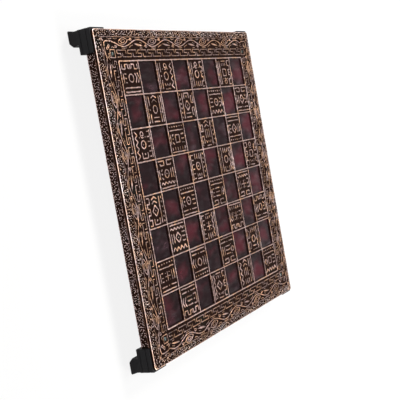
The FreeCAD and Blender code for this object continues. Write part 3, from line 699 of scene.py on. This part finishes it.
def pale_floor(nodes, where):
    """Pale floor that the camera, glass and metal see as white, with the board's shadow."""
    ray = nodes.add("ShaderNodeLightPath", output="Is Camera Ray")
    seen = ray + nodes.other(ray, "Is Glossy Ray") + nodes.other(ray, "Is Transmission Ray")
    tone = nodes.mix(nodes.clouds(where, 6.0, 2.0), tint("floor"), tint("floor", 0.985))
    matt = nodes.add("ShaderNodeBsdfDiffuse", {}, {"Color": tone})
    glow = nodes.add("ShaderNodeEmission", {}, {"Color": (1.0, 1.0, 1.0, 1.0), "Strength": 1.0})
    return nodes.add("ShaderNodeMixShader", {}, {
        0: nodes.maths("MINIMUM", seen, 1.0) * 0.85, 1: matt, 2: glow})


FINISHES = {"plate_copper": copper, "strip_copper": strip_copper,
            "cloudy_enamel": cloudy_enamel, "green_stud_glaze": green_stud_glaze,
            "moulded_plastic": moulded_plastic, "pressed_felt": pressed_felt,
            "pressed_core": pressed_core, "plated_steel": plated_steel,
            "pale_floor": pale_floor}


def finish(name):
    """A finish by name, made once from the colours on the panel."""
    material = bpy.data.materials.get(name)
    if not material:
        material = bpy.data.materials.new(name)
        nodes = fresh_nodes(material)
        where = nodes.add("ShaderNodeTexCoord", output="Object")
        nodes.end("ShaderNodeOutputMaterial", FINISHES[name](nodes, where))
    return material


# Relief plate

def has_enamel(file, rank):
    """Whether a square is a dark one, counting files and ranks from 0 at a1."""
    return (file + rank) % 2 == 0


def band_level(reach):
    """Height of the sloping band at a distance from the middle of the board."""
    return BAND_LOW + BAND_RISE * (PLATE_HALF - reach) / (PLATE_HALF - SUNKEN_HALF)


def outline_ring(half, radius, height):
    """Rounded square with a point at every line of the grid, so that rings can be joined."""
    corner = []
    for number in range(7):
        angle = QUARTER * number / 6
        corner.append((half - radius + radius * math.cos(angle),
                       half - radius + radius * math.sin(angle)))
    points = []
    for quarter in range(4):
        for x, y in corner + [(x, half) for x in reversed(GRID_LINES[1:-1])]:
            for turn in range(quarter):
                x, y = -y, x
            points.append((x, y, height))
    return points


def plate_casting():
    """Body of the plate: its rim, the sloping band, the ridge inside it, the sunken ground and
    the pockets for the enamel."""
    edge, sill = PLATE_HALF, SUNKEN_HALF
    # Half width, corner radius, height and relief of each ring
    rings = [
        (edge, 2.5, PLATE_LOW.z / MM, 0.2), (edge, 2.5, BAND_LOW - 0.4, 0.3),
        (edge, 2.5, BAND_LOW + 0.02, 0.6), (edge - 0.12, 2.4, BAND_LOW + 0.24, 0.95),
        (edge - 0.4, 2.2, BAND_LOW + 0.34, 0.9), (edge - 0.75, 2.0, BAND_LOW + 0.3, 0.4),
        (edge - 1.0, 1.9, band_level(edge - 1.0), 0.1), (sill + 0.25, 1.0, band_level(sill), 0.1),
        (sill, 1.0, TOP - 0.3, 0.5), (sill - 0.3, 0.9, TOP - 0.04, 0.68),
        (sill - 0.6, 0.8, TOP - 0.1, 0.6), (sill - 0.9, 0.7, TOP - 0.5, 0.2),
        (sill - 1.0, 0.6, GROUND, 0.0), (-GRID_LINES[0], 0.0, GROUND, 0.0),
    ]
    count = len(outline_ring(1.0, 0.0, 0.0))
    points, relief, faces = [], [], [list(reversed(range(count)))]
    for half, radius, height, value in rings:
        if points:
            faces += walls(len(points) - count, len(points), count)
        points += outline_ring(half, radius, height)
        relief += [value] * count
    cells = range(len(GRID_LINES) - 1)
    for column in cells:
        for row in cells:
            first = len(points)
            corners = [(GRID_LINES[column + x], GRID_LINES[row + y])
                       for x, y in ((0, 0), (1, 0), (1, 1), (0, 1))]
            points += [(x, y, GROUND) for x, y in corners]
            if column % 2 and row % 2 and has_enamel(column // 2, row // 2):
                points += [(x, y, POCKET_FLOOR) for x, y in corners]
                faces += walls(first, first + 4, 4)
                first += 4
            faces.append((first, first + 1, first + 2, first + 3))
    relief += [0.0] * (len(points) - len(relief))
    return solid("plate_casting", points, faces, "plate_copper", 38, relief, 0.002 * MM)


def key_drawings(line, height, count):
    """One hooked S of the key band, the cut ones at the two ends of a side, and the distance
    from one to the next."""
    run = 2 * (KEY_MIDDLE - BOX_HALF - BOX_LINE / 2 - BOX_GAP)
    column = (run - line) / (6 * count - 4)
    whole, ends = Drawing(), Drawing()
    upper = [(4 * column, -line / 2), (4 * column, KEY_ROW), (-column, KEY_ROW), (-column, 0),
             (column, 0), (column, -KEY_ROW)]
    shape = upper + [(-4 * column, -KEY_ROW), (-4 * column, line / 2)]
    whole.line([(x, y + KEY_MIDDLE) for x, y in shape], line, height)
    cut = upper + [(-column - line / 2, -KEY_ROW)]
    end = 3 * column * (count - 1)
    ends.line([(x - end, y + KEY_MIDDLE) for x, y in cut], line, height)
    ends.line([(end - x, KEY_MIDDLE - y) for x, y in cut], line, height)
    return whole, ends, 6 * column


def vine_drawings(line):
    """One repeat of the vine on a side, and what fills a corner of its band."""
    fine, thin, lower = 0.85, 0.95, RELIEF * 0.95
    period = 2 * FIELD_HALF / 4.9
    side, corner = Drawing(), Drawing()
    low, high = -0.21 * period, 0.29 * period
    middle = VINE_MIDDLE
    turn = 2 * math.pi / period
    stem = [(x, middle - 2.9 * math.cos(turn * (x - low)))
            for x in (period * (n / 24 - 0.5) for n in range(25))]
    side.stroke(stem, [line / 2] * len(stem), [RELIEF] * len(stem))
    add_bud(side, (low, middle + 1.5), 7.2, 2.7, 9)
    add_leaf(side, (high, middle - 1.5), 7.6, 2.7, -8)
    side.curl((low - 11.2, middle - 2.6), 1.7, 0.5, 1.1, 2.2, 0.9, RELIEF, 10)
    side.curl((high - 11.4, middle + 3.0), 1.6, 0.5, 1.1, -1.0, 0.9, RELIEF, 10)
    for start, tendril in (
            (low, ((-8.0, 3.9), (-11.0, 3.2), (-14.0, 4.1))),
            (low, ((7.6, 3.2), (10.0, 2.6), (12.6, 4.0))),
            (high, ((-8.6, -1.6), (-11.8, -2.4), (-15.0, -4.0))),
            (high, ((8.0, -3.4), (10.0, -2.2), (12.2, -0.8))),
            (low, ((-3.4, -4.2), (0.4, -4.4), (4.4, -4.1))),
            (high, ((-4.2, 4.2), (-0.4, 4.4), (3.8, 4.2)))):
        side.line([(start + x, middle + y) for x, y in tendril], fine, lower)
    near, far = middle - 2.6, middle + 2.6
    end = 2.5 * period
    corner.line([(end, middle), (end + 3.6, middle + 1.6), (near + 1.0, middle + 1.9),
                 (middle + 1.0, middle + 1.0), (middle + 1.9, near + 1.0),
                 (middle + 1.6, end + 3.6), (middle, end)], line, RELIEF, step=2.0)
    add_leaf(corner, (middle + 3.0, middle + 3.0), 2.6, 1.3, 45)
    half = Drawing()
    half.curl((near - 1.2, near + 0.2), 1.8, 0.5, 1.2, 1.2, 0.9, RELIEF, 10)
    half.line([(end + 2.2, far + 1.5), (end + 6.0, far + 0.6), (end + 9.4, far + 1.7)], thin,
              lower)
    half.line([(end + 0.6, near - 1.6), (end + 2.6, near - 0.4), (end + 5.0, near - 1.0)], thin,
              lower)
    corner.add(half)
    corner.add(half, turn=3, mirrored=True)
    return side, corner, period


def axes(degrees):
    """Directions along and across something that leans by some degrees."""
    slope = math.radians(degrees)
    along = Vector((math.cos(slope), math.sin(slope)))
    return along, Vector((-along.y, along.x))


def add_bud(drawing, middle, reach, half_width, lean):
    """Pointed oval outline with a smaller round one in it."""
    along, across = axes(lean)
    for share, breadth, half_count, point, width, height in (
            (1.0, 1.0, 8, 1.0, 0.95, RELIEF), (0.42, 0.48, 5, 0.5, 0.8, RELIEF * 0.95)):
        drawing.line(oval(Vector(middle), along * reach * share, across * half_width * breadth,
                          half_count, point), width, height, closed=True, step=WHOLE)


def oval(middle, along, across, half_count, point):
    """Closed outline of an oval. Its ends are round at a point of 0.5 and sharper above it."""
    corners = []
    for number in range(2 * half_count):
        turn = math.pi * number / half_count
        side = math.copysign(abs(math.sin(turn)) ** (2 * point), math.sin(turn))
        corners.append(middle + along * math.cos(turn) + across * side)
    return corners


def add_leaf(drawing, middle, reach, half_width, lean):
    """Full pointed leaf with a short tip beside it on each side."""
    along, across = axes(lean)
    drawing.blob(middle, reach, half_width * 0.5, RELIEF, math.radians(lean), sections=11)
    for side in (-1, 1):
        root = Vector(middle) + along * reach * 0.2 + across * side * half_width * 0.95
        tip = root + along * reach * 0.55 - across * side * half_width * 0.25
        drawing.line([root, tip], 0.8, RELIEF * 0.95)


# Cast squares

def both(path):
    """A line and its mirror image."""
    return path, [(-x, y) for x, y in path]


def level(y):
    """A line right across a square."""
    return [(-11.9, y), (11.9, y)]


class Ornament:
    """Draws the parts of a cast square: its middle, the bars above it and an end at its right.
    The parts are turned and mirrored to their places."""

    def __init__(self, width, height):
        self.width = width
        self.height = height
        self.draw = random.Random(5)

    def part(self, *paths, outline=None, dots=(), reach=1.0):
        """An outline, lines that differ a little in width, and dots."""
        drawing = Drawing()
        if outline:
            drawing.line(outline, self.width * 0.9, self.height, closed=True)
        for path in paths:
            drawing.line(path, self.width * self.draw.uniform(0.85, 1.2), self.height)
        for place in dots:
            drawing.blob(place, reach, reach * 0.92, self.height)
        return drawing

    def bars(self):
        wave = [(x / 2, 8.0 + 0.9 * math.sin(x * 0.6)) for x in range(-23, 24, 2)]
        zigzag = [(2.9 * n, 7.4 if n % 2 else 11.2) for n in range(-4, 5)]
        battlement = [(0, 8.2), (2.6, 8.2), (2.6, 11.4), (6.8, 11.4), (6.8, 7.6), (11.6, 7.6),
                      (11.6, 11.8)]
        hook = [(11.8, 11.6), (2.2, 11.6), (2.2, 7.6), (8.6, 7.6), (8.6, 9.4)]
        pegs = [path for x in (2.1, 6.2, 10.6) for path in both([(x, 10.4), (x, 6.8)])]
        return [
            self.part(level(11.4), level(8.0)),
            self.part(level(11.5), *both([(3.0, 8.0), (11.8, 8.0)]), dots=[(0, 8.0)]),
            self.part(level(11.6), *pegs),
            self.part(level(11.6), wave),
            self.part(zigzag),
            self.part(*both(battlement), [(0, 8.2), (0, 11.6)]),
            self.part(*both(hook)),
            self.part(level(7.6), reach=1.25,
                      dots=[(x, 11.0) for x in (-10.4, -6.2, -2.1, 2.1, 6.2, 10.4)]),
        ]

    def ends(self):
        curl = Drawing()
        curl.curl((8.9, 0.0), 3.4, 1.0, 1.3, 2.6, self.width * 0.8, self.height, 14)
        curl.add(self.part(dots=[(6.2, 4.4), (6.2, -4.4)], reach=0.8))
        return [
            self.part([(7.0, -4.4), (7.0, 4.4)], [(10.6, -4.8), (10.6, 4.8)]),
            self.part(*([(6.2, y), (11.8, y)] for y in (3.8, 0, -3.8))),
            curl,
            self.part([(6.2, 4.2), (11.4, 4.2), (11.4, -4.2), (6.2, -4.2)], dots=[(8.0, 0)],
                      reach=1.2),
            self.part([(6.0, 4.4), (8.4, 0), (6.0, -4.4)], [(9.6, 4.4), (12.0, 0), (9.6, -4.4)]),
            self.part([(11.2, -4.6), (11.2, 4.6)],
                      *([(6.4, y), (9.6, y)] for y in (3.6, 0, -3.6))),
            self.part([(11.4, -4.6), (11.4, 4.6)], [(6.2, -4.6), (9.0, -2.6)],
                      [(6.2, 4.6), (9.0, 2.6)], dots=[(7.6, 0)], reach=1.3),
        ]

    def middles(self):
        ring = circle(3.4, 14)
        lozenge = [(4.6, 0), (0, 4.6), (-4.6, 0), (0, -4.6)]
        return [
            self.part(outline=ring),
            self.part(outline=ring, dots=[(0, 0)], reach=1.1),
            self.part(outline=lozenge, dots=[(0, 0)]),
            self.part(outline=square(3.3)),
            self.part([(-4.4, 0), (4.4, 0)], [(0, -4.4), (0, 4.4)], dots=square(3.2), reach=0.8),
            self.part(*([(-4.4, y), (4.4, y)] for y in (3.6, 0, -3.6))),
        ]


def cast_squares_drawing(width, height, files):
    """Ornament of the squares without enamel on some files of the board."""
    parts = Ornament(width, height)
    draw = random.Random(64 + files[0])
    whole = Drawing()
    for rank in range(8):
        for file in files:
            if has_enamel(file, rank):
                continue
            cast = Drawing()
            middles = parts.middles()
            cast.add(draw.choice(middles[:2] * 2 + middles[2:]))
            above, below = draw.sample(parts.bars(), 2)
            right, left = draw.sample(parts.ends(), 2)
            cast.add(above)
            cast.add(below, turn=2)
            cast.add(right)
            cast.add(left, turn=2)
            place = ((file + 0.5) * PITCH - FIELD_HALF, (rank + 0.5) * PITCH - FIELD_HALF)
            whole.add(cast, place, draw.randrange(4), draw.random() < 0.5)
    return whole


# Rough texture of the sloping band and the edging

def marks_object(height):
    """Short bent marks in a few kinds, all at the origin, for the texture to pick from."""
    known = bpy.data.objects.get("texture_marks")
    if known:
        return known
    draw = random.Random(7)
    sections = 5
    points, faces, relief, kinds = [], [], [], []
    for kind in range(MARK_KINDS):
        reach = draw.uniform(0.65, 1.3)
        bend = draw.uniform(-0.6, 0.6)
        hook = draw.uniform(-0.35, 0.35)
        first = len(points)
        for number in range(sections):
            share = number / (sections - 1)
            x = reach * (2 * share - 1)
            y = bend * (1 - (2 * share - 1) ** 2) + hook * share * share
            wide = 0.32 * (0.45 + 0.55 * math.sin(math.pi * share))
            rise = 0.35 + 0.65 * math.sin(math.pi * (0.12 + 0.76 * share))
            high = height / MM * rise
            points += [(x, y - wide, -0.15), (x, y - wide / 2, high), (x, y + wide / 2, high),
                       (x, y + wide, -0.15)]
            relief += [0.0, rise, rise, 0.0]
            kinds += [kind] * 4
        for base in range(first, len(points) - 4, 4):
            faces += walls(base, base + 4, 4)
        last = len(points) - 4
        faces += [(first + 3, first + 2, first + 1, first), (last, last + 1, last + 2, last + 3)]
    mesh = mesh_from("texture_marks", points, faces, relief)
    store(mesh, "kind", kinds, "INT")
    face_outwards(mesh)
    marks = add_object("texture_marks", mesh)
    marks.hide_render = True
    return marks


def roughen(name, points, faces, seed, material, half, low, high):
    """Raised marks scattered over the faces, no further out than half and from low to high."""
    sizes = bpy.context.scene.board_sizes
    mesh = mesh_from("textured_area", points, faces)
    return grow(name, mesh, rough_texture_tree, Marks=marks_object(sizes.mark_height),
                Spacing=sizes.mark_spacing, Seed=seed, Material=finish(material),
                Lowest=Vector((-half, -half, low)) * MM, Highest=Vector((half, half, high)) * MM)


# Operators

class BoardOperator(bpy.types.Operator):
    bl_options = {"REGISTER", "UNDO"}


class MakePlateCasting(BoardOperator):
    """Body of the relief plate with its rim, sloping band and pockets"""
    bl_idname = "chessboard.make_plate_casting"
    bl_label = "Plate casting"

    def execute(self, context):
        hand_over(plate_casting(), "patinated_copper", "relief_plate")
        return {"FINISHED"}


class MakeFieldRidges(BoardOperator):
    """Ridges between the squares and the ridge that frames them"""
    bl_idname = "chessboard.make_field_ridges"
    bl_label = "Field ridges"

    def execute(self, context):
        sizes = context.scene.board_sizes
        height = sizes.ridge_height / MM
        grid, edge = Drawing(), Drawing()
        grid.line([(0, -FIELD_HALF), (0, FIELD_HALF)], sizes.ridge_width / MM, height, step=2.0)
        edge.line(square(FIELD_HALF + 0.35), sizes.frame_ridge_width / MM, height, closed=True,
                  step=2.5)
        raise_drawing("field_ridges", grid, 7, PITCH, 2, waviness=sizes.waviness * 0.5)
        raise_drawing("frame_ridge", edge, rounding=1.0, waviness=sizes.waviness * 0.4)
        return {"FINISHED"}


class MakeKeyBand(BoardOperator):
    """Key band of hooked S shapes, with a box and a stud in each corner"""
    bl_idname = "chessboard.make_key_band"
    bl_label = "Key band"

    def execute(self, context):
        sizes = context.scene.board_sizes
        line, height = sizes.key_line / MM, sizes.key_height / MM
        waviness = sizes.waviness * 0.5
        whole, ends, pitch = key_drawings(line, height, sizes.key_count)
        box, stud = Drawing(), Drawing()
        box.line(square(BOX_HALF, KEY_MIDDLE), BOX_LINE, height, closed=True)
        stud.blob((KEY_MIDDLE, KEY_MIDDLE), 1.5, 1.4, 0.9, sections=9)
        raise_drawing("key_band", whole, sizes.key_count - 2, pitch, 4, waviness=waviness)
        raise_drawing("key_band_ends", ends, sides=4, waviness=waviness)
        raise_drawing("corner_boxes", box, sides=4, waviness=waviness)
        raise_drawing("corner_studs", stud, sides=4, material="green_stud_glaze")
        return {"FINISHED"}


class MakeVineBand(BoardOperator):
    """Vine scroll with buds and leaves round the key band"""
    bl_idname = "chessboard.make_vine_band"
    bl_label = "Vine band"

    def execute(self, context):
        sizes = context.scene.board_sizes
        side, corner, period = vine_drawings(sizes.vine_line / MM)
        raise_drawing("vine_scroll", side, sizes.vine_count, period, 4, waviness=sizes.waviness)
        raise_drawing("vine_corners", corner, sides=4, waviness=sizes.waviness)
        return {"FINISHED"}


class MakeCastSquares(BoardOperator):
    """Raised ornament in the squares that have no enamel"""
    bl_idname = "chessboard.make_cast_squares"
    bl_label = "Cast squares"

    def execute(self, context):
        sizes = context.scene.board_sizes
        for name, files in (("left", range(0, 4)), ("right", range(4, 8))):
            drawing = cast_squares_drawing(sizes.ornament_line / MM, sizes.ornament_height / MM,
                                           files)
            raise_drawing(f"cast_squares_{name}", drawing, rounding=0.5,
                          waviness=sizes.waviness * 1.6)
        return {"FINISHED"}


class MakeRimTexture(BoardOperator):
    """Rough marks all over the sloping band"""
    bl_idname = "chessboard.make_rim_texture"
    bl_label = "Rim texture"

    def execute(self, context):
        points = [(x, y, band_level(half)) for half in (PLATE_HALF - 0.8, SUNKEN_HALF + 0.4)
                  for x, y in square(half)]
        piece = roughen("rim_texture", points, walls(0, 4, 4), 3, "plate_copper",
                        PLATE_HALF - 0.1, BAND_LOW, TOP)
        hand_over(piece, "patinated_copper")
        return {"FINISHED"}


class MakeEnamel(BoardOperator):
    """Enamel fill in every second square"""
    bl_idname = "chessboard.make_enamel"
    bl_label = "Enamel"

    def execute(self, context):
        for rank in range(8):
            for file in range(8):
                if has_enamel(file, rank):
                    self.fill(f"{FILES[file]}{rank + 1}", context.scene.board_sizes.enamel_wave)
        return {"FINISHED"}

    def fill(self, place, wave):
        """Slab with a slightly wavy top that falls away at its edges, where its cells are
        closer together."""
        node = f"enamel_{place}"
        low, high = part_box(node)
        middle = (low + high) / 2
        half = (high.x - low.x) / 2
        cells = 14
        wide = cells + 1
        crowding, bumps_per_metre, edge_start, edge_fall = 1.25, 95.0, 0.965, 0.16 * MM
        points = []
        for row in range(wide):
            for column in range(wide):
                x, y = (centre + half * math.copysign(1 - (1 - abs(share)) ** crowding, share)
                        for centre, share in ((middle.x, 2 * column / cells - 1),
                                              (middle.y, 2 * row / cells - 1)))
                bump = noise.noise(Vector((x, y, 0.37)) * bumps_per_metre) * wave
                edge = max(abs(x - middle.x), abs(y - middle.y)) / half
                fall = max(0.0, (edge - edge_start) / (1 - edge_start)) * edge_fall
                points.append((x / MM, y / MM, (high.z - wave + bump - fall) / MM))
        faces = [(base, base + 1, base + 1 + wide, base + wide)
                 for base in (row * wide + column for row in range(cells)
                              for column in range(cells))]
        border = ([n for n in range(wide)] + [n * wide + cells for n in range(1, wide)]
                  + [cells * wide + n for n in reversed(range(cells))]
                  + [n * wide for n in reversed(range(1, cells))])
        base, around = len(points), len(border)
        points += [(points[n][0], points[n][1], low.z / MM) for n in border]
        faces += [(border[(n + 1) % around], border[n], base + n, base + (n + 1) % around)
                  for n in range(around)]
        faces.append([base + n for n in reversed(range(around))])
        piece = solid(f"enamel_fill_{place}", points, faces, "cloudy_enamel", 50)
        hand_over(piece, "enamel", node)


class MakeEdging(BoardOperator):
    """Four mitred edge strips with a sunken channel and rough faces"""
    bl_idname = "chessboard.make_edging"
    bl_label = "Edging"

    def execute(self, context):
        face, low, high = STRIP_HIGH.x / MM, STRIP_LOW.z / MM, STRIP_HIGH.z / MM
        wall, channel_height, channel_depth, lip_height = 1.5, 1.4, 0.8, 0.7
        back, lip, lip_top = face - wall, STRIP_LOW.x / MM, low + lip_height
        ledge, floor = high - channel_height, face - channel_depth
        skin = face - 0.04
        # Distance from the middle, height and relief of each corner of the section
        section = [
            (lip, low, 0.3), (face - 0.4, low, 0.4), (face - 0.12, low + 0.12, 0.5),
            (face, low + 0.4, 0.5), (skin, low + 0.75, 0.2), (skin, ledge - 0.75, 0.2),
            (face, ledge - 0.4, 0.4), (face - 0.12, ledge - 0.12, 0.4), (face - 0.4, ledge, 0.3),
            (floor, ledge, 0.1), (floor, high, 0.1), (back, high, 0.1), (back, lip_top, 0.1),
            (lip, lip_top, 0.1),
        ]
        reach = FOOT_START - 1.2
        area = [(skin, -reach, low + 0.4), (skin, reach, low + 0.4), (skin, reach, ledge - 0.4),
                (skin, -reach, ledge - 0.4)]
        for quarter, name in enumerate(SIDES):
            node = f"edge_strip_{name}"
            turn = Matrix.Rotation(QUARTER * quarter, 4, "Z")
            hand_over(self.metal(node, section, turn), "edging_copper", node)
            points = [turn @ Vector(corner) for corner in area]
            rough = roughen(f"{node}_texture", points, [(0, 1, 2, 3)], 11 + quarter,
                            "strip_copper", PLATE_HALF, low + 0.1, ledge - 0.1)
            hand_over(rough, "edging_copper")
        return {"FINISHED"}

    def metal(self, node, section, turn):
        """Strip with the section, mitred a little short of the next one."""
        gap = 0.02
        count = len(section)
        points = [turn @ Vector((x, end * (x - gap), z)) for end in (-1, 1)
                  for x, z, value in section]
        relief = [value for x, z, value in section] * 2
        faces = walls(0, count, count)
        faces += [list(range(count)), [count + n for n in reversed(range(count))]]
        return solid(f"{node}_metal", points, faces, "strip_copper", 40, relief)


class MakeCoreAndLining(BoardOperator):
    """Wooden core, and the felt under it"""
    bl_idname = "chessboard.make_core_and_lining"
    bl_label = "Core and lining"

    def execute(self, context):
        for node, material, slot in (("core_board", "pressed_core", "core_wood"),
                                     ("felt_lining", "pressed_felt", "felt")):
            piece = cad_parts[node]
            piece.data.materials.clear()
            piece.data.materials.append(finish(material))
        return {"FINISHED"}


class MakeFeet(BoardOperator):
    """Moulded feet with soft edges"""
    bl_idname = "chessboard.make_feet"
    bl_label = "Feet"

    def execute(self, context):
        for corner in CORNERS:
            node = f"corner_foot_{corner}"
            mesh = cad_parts[node].data.copy()
            mesh.name = f"foot_{corner}"
            mesh.materials.clear()
            mesh.materials.append(finish("moulded_plastic"))
            with editing(mesh) as work:
                bmesh.ops.remove_doubles(work, verts=work.verts, dist=0.01 * MM)
                bmesh.ops.dissolve_limit(work, angle_limit=math.radians(2), verts=work.verts,
                                         edges=work.edges)
            foot = add_object(f"foot_{corner}", mesh)
            soft = foot.modifiers.new("soft_edges", "BEVEL")
            soft.width = context.scene.board_sizes.foot_edge
            soft.segments = 2
            soft.limit_method = "ANGLE"
            soft.angle_limit = math.radians(40)
            soft.harden_normals = True
            smooth(mesh, 30)
            hand_over(foot, "foot_plastic", node)
        return {"FINISHED"}


class MakeScrews(BoardOperator):
    """Screws under the feet, with cross recesses in their flat heads"""
    bl_idname = "chessboard.make_screws"
    bl_label = "Screws"

    def execute(self, context):
        head = 2.7
        places = square(SCREW_HIGH.x / MM - head)
        mesh = mesh_from("screw_places", [(x, y, SCREW_LOW.z / MM) for x, y in places], [])
        store(mesh, "turn", [0.3, 1.1, 2.0, 2.9])
        screw = self.screw(head, (SCREW_HIGH.z - SCREW_LOW.z) / MM)
        piece = grow("screws", mesh, placed_copies_tree, Copy=screw,
                     Material=finish("plated_steel"))
        smooth(piece.data, 35)
        bpy.data.objects.remove(screw)
        hand_over(piece, "screw_steel", "foot_screws")
        return {"FINISHED"}

    def screw(self, head, reach):
        """Screw pointing up, with its head at the origin."""
        shank, around = 1.5, 28
        outline = [(head - 0.6, 0.0), (head - 0.2, 0.22), (head, 0.6), (head, 1.6), (shank, 1.6),
                   (shank, reach - 2.0), (0.05, reach)]
        points = [(x, y, z) for radius, z in outline for x, y in circle(radius, around)]
        faces = [face for ring in range(len(outline) - 1)
                 for face in walls(ring * around, (ring + 1) * around, around)]
        faces.append([len(points) - around + n for n in range(around)])
        arm, half, depth, narrowing = 1.55, 0.33, 0.95, 0.72
        cross = [(half, arm), (-half, arm), (-half, half), (-arm, half), (-arm, -half),
                 (-half, -half), (-half, -arm), (half, -arm), (half, -half), (arm, -half),
                 (arm, half), (half, half)]
        first, count = len(points), len(cross)
        points += [(x, y, 0.0) for x, y in cross]
        points += [(x * narrowing, y * narrowing, depth) for x, y in cross]
        faces += walls(first, first + count, count)
        faces.append([first + count + n for n in range(count)])
        mesh = mesh_from("screw", points, faces)
        with editing(mesh) as work:
            work.verts.ensure_lookup_table()
            edges = [work.edges.get((work.verts[start + n], work.verts[start + (n + 1) % size]))
                     for start, size in ((0, around), (first, count)) for n in range(size)]
            bmesh.ops.triangle_fill(work, use_beauty=True, edges=edges)
            bmesh.ops.recalc_face_normals(work, faces=work.faces)
        return add_object("screw", mesh)


class MakeStage(BoardOperator):
    """Floor, lamps, surroundings and camera"""
    bl_idname = "chessboard.make_stage"
    bl_label = "Stage"

    def execute(self, context):
        scene = context.scene
        scene.view_settings.view_transform = "Standard"
        mesh = mesh_from("floor", [(x, y, 0) for x, y in square(FLOOR_HALF)], [(0, 1, 2, 3)])
        mesh.materials.append(finish("pale_floor"))
        add_object("floor", mesh)
        self.surroundings(scene)
        warm, cold = (1.0, 0.95, 0.90), (0.90, 0.97, 1.0)
        for name, place, size, power, tone in (
                ("far_left", (0.60, 0.75, 1.05), 0.4, 13.5, warm),
                ("far_right", (0.60, -0.75, 1.05), 0.4, 9.5, warm),
                ("overhead", (0.55, 0.0, 1.2), 0.5, 7.5, cold)):
            light = bpy.data.lights.new(name, "AREA")
            light.size = size
            light.energy = power
            light.color = tone
            lamp = add_object(name, light)
            lamp.location = place
            lamp.rotation_euler = (-Vector(place)).to_track_quat("-Z", "Y").to_euler()
        self.camera(scene)
        return {"FINISHED"}

    def surroundings(self, scene):
        """Pale walls up to a little above the horizon, a darker ceiling, and a wide soft glow
        low down on the camera's side."""
        scene.world = bpy.data.worlds.new("studio")
        nodes = fresh_nodes(scene.world)
        where = nodes.add("ShaderNodeTexCoord", output="Generated")
        up = nodes.parts(where)[2]
        tone = nodes.mix(nodes.ramp(up, 0.34, 0.45), (1.0, 1.0, 1.0, 1.0),
                         (0.07, 0.07, 0.07, 1.0))
        nearness = nodes.vectors("DOT_PRODUCT", where, (-0.84, 0.38, 0.38), output="Value")
        glowing = nodes.ramp(nearness, 0.40, 0.85) * nodes.ramp(up, 0.42, 0.56, 1.0, 0.0)
        lit = nodes.mix(glowing, tone, (1.85, 1.74, 1.76, 1.0))
        nodes.end("ShaderNodeOutputWorld",
                  nodes.add("ShaderNodeBackground", {}, {"Color": lit, "Strength": 1.0}))

    def camera(self, scene):
        """The board is seen from its left, with its far edge at the top of the picture."""
        eye = bpy.data.cameras.new("camera")
        eye.lens = 79.92
        eye.sensor_width = 36.0
        eye.clip_start, eye.clip_end = 0.05, 60.0
        right = Vector((0.48173, -0.17653, 0.85835))
        above = Vector((0.15169, 0.98152, 0.11672))
        towards = right.cross(above).normalized()
        above = towards.cross(right).normalized()
        turn = Matrix((right.normalized(), above, towards)).transposed().to_4x4()
        camera = add_object("camera", eye)
        camera.matrix_world = Matrix.Translation((-0.72019, 0.04327, 0.42807)) @ turn
        scene.camera = camera


OPERATORS = (MakePlateCasting, MakeFieldRidges, MakeKeyBand, MakeVineBand, MakeCastSquares,
             MakeRimTexture, MakeEnamel, MakeEdging, MakeCoreAndLining, MakeFeet, MakeScrews,
             MakeStage)


class BoardPanel(bpy.types.Panel):
    """Sizes, colours and pieces of the chessboard"""
    bl_idname = "VIEW3D_PT_chessboard"
    bl_label = "Enamel chessboard"
    bl_space_type = "VIEW_3D"
    bl_region_type = "UI"
    bl_category = "Chessboard"

    def draw(self, context):
        for group in (context.scene.board_sizes, context.scene.board_colours):
            box = self.layout.box()
            for name in group.__annotations__:
                box.prop(group, name)
        for operator in OPERATORS:
            self.layout.operator(operator.bl_idname)


CLASSES = (BoardSizes, BoardColours, *OPERATORS, BoardPanel)


def register():
    for item in CLASSES:
        bpy.utils.register_class(item)
    bpy.types.Scene.board_sizes = PointerProperty(type=BoardSizes)
    bpy.types.Scene.board_colours = PointerProperty(type=BoardColours)


def unregister():
    del bpy.types.Scene.board_colours
    del bpy.types.Scene.board_sizes
    for item in reversed(CLASSES):
        bpy.utils.unregister_class(item)


def main():
    """Builds the board on its stage."""
    register()
    for operator in OPERATORS:
        family, name = operator.bl_idname.split(".")
        getattr(getattr(bpy.ops, family), name)()
    bpy.data.objects.remove(bpy.data.objects["texture_marks"])


if __name__ == "__main__":
    main()
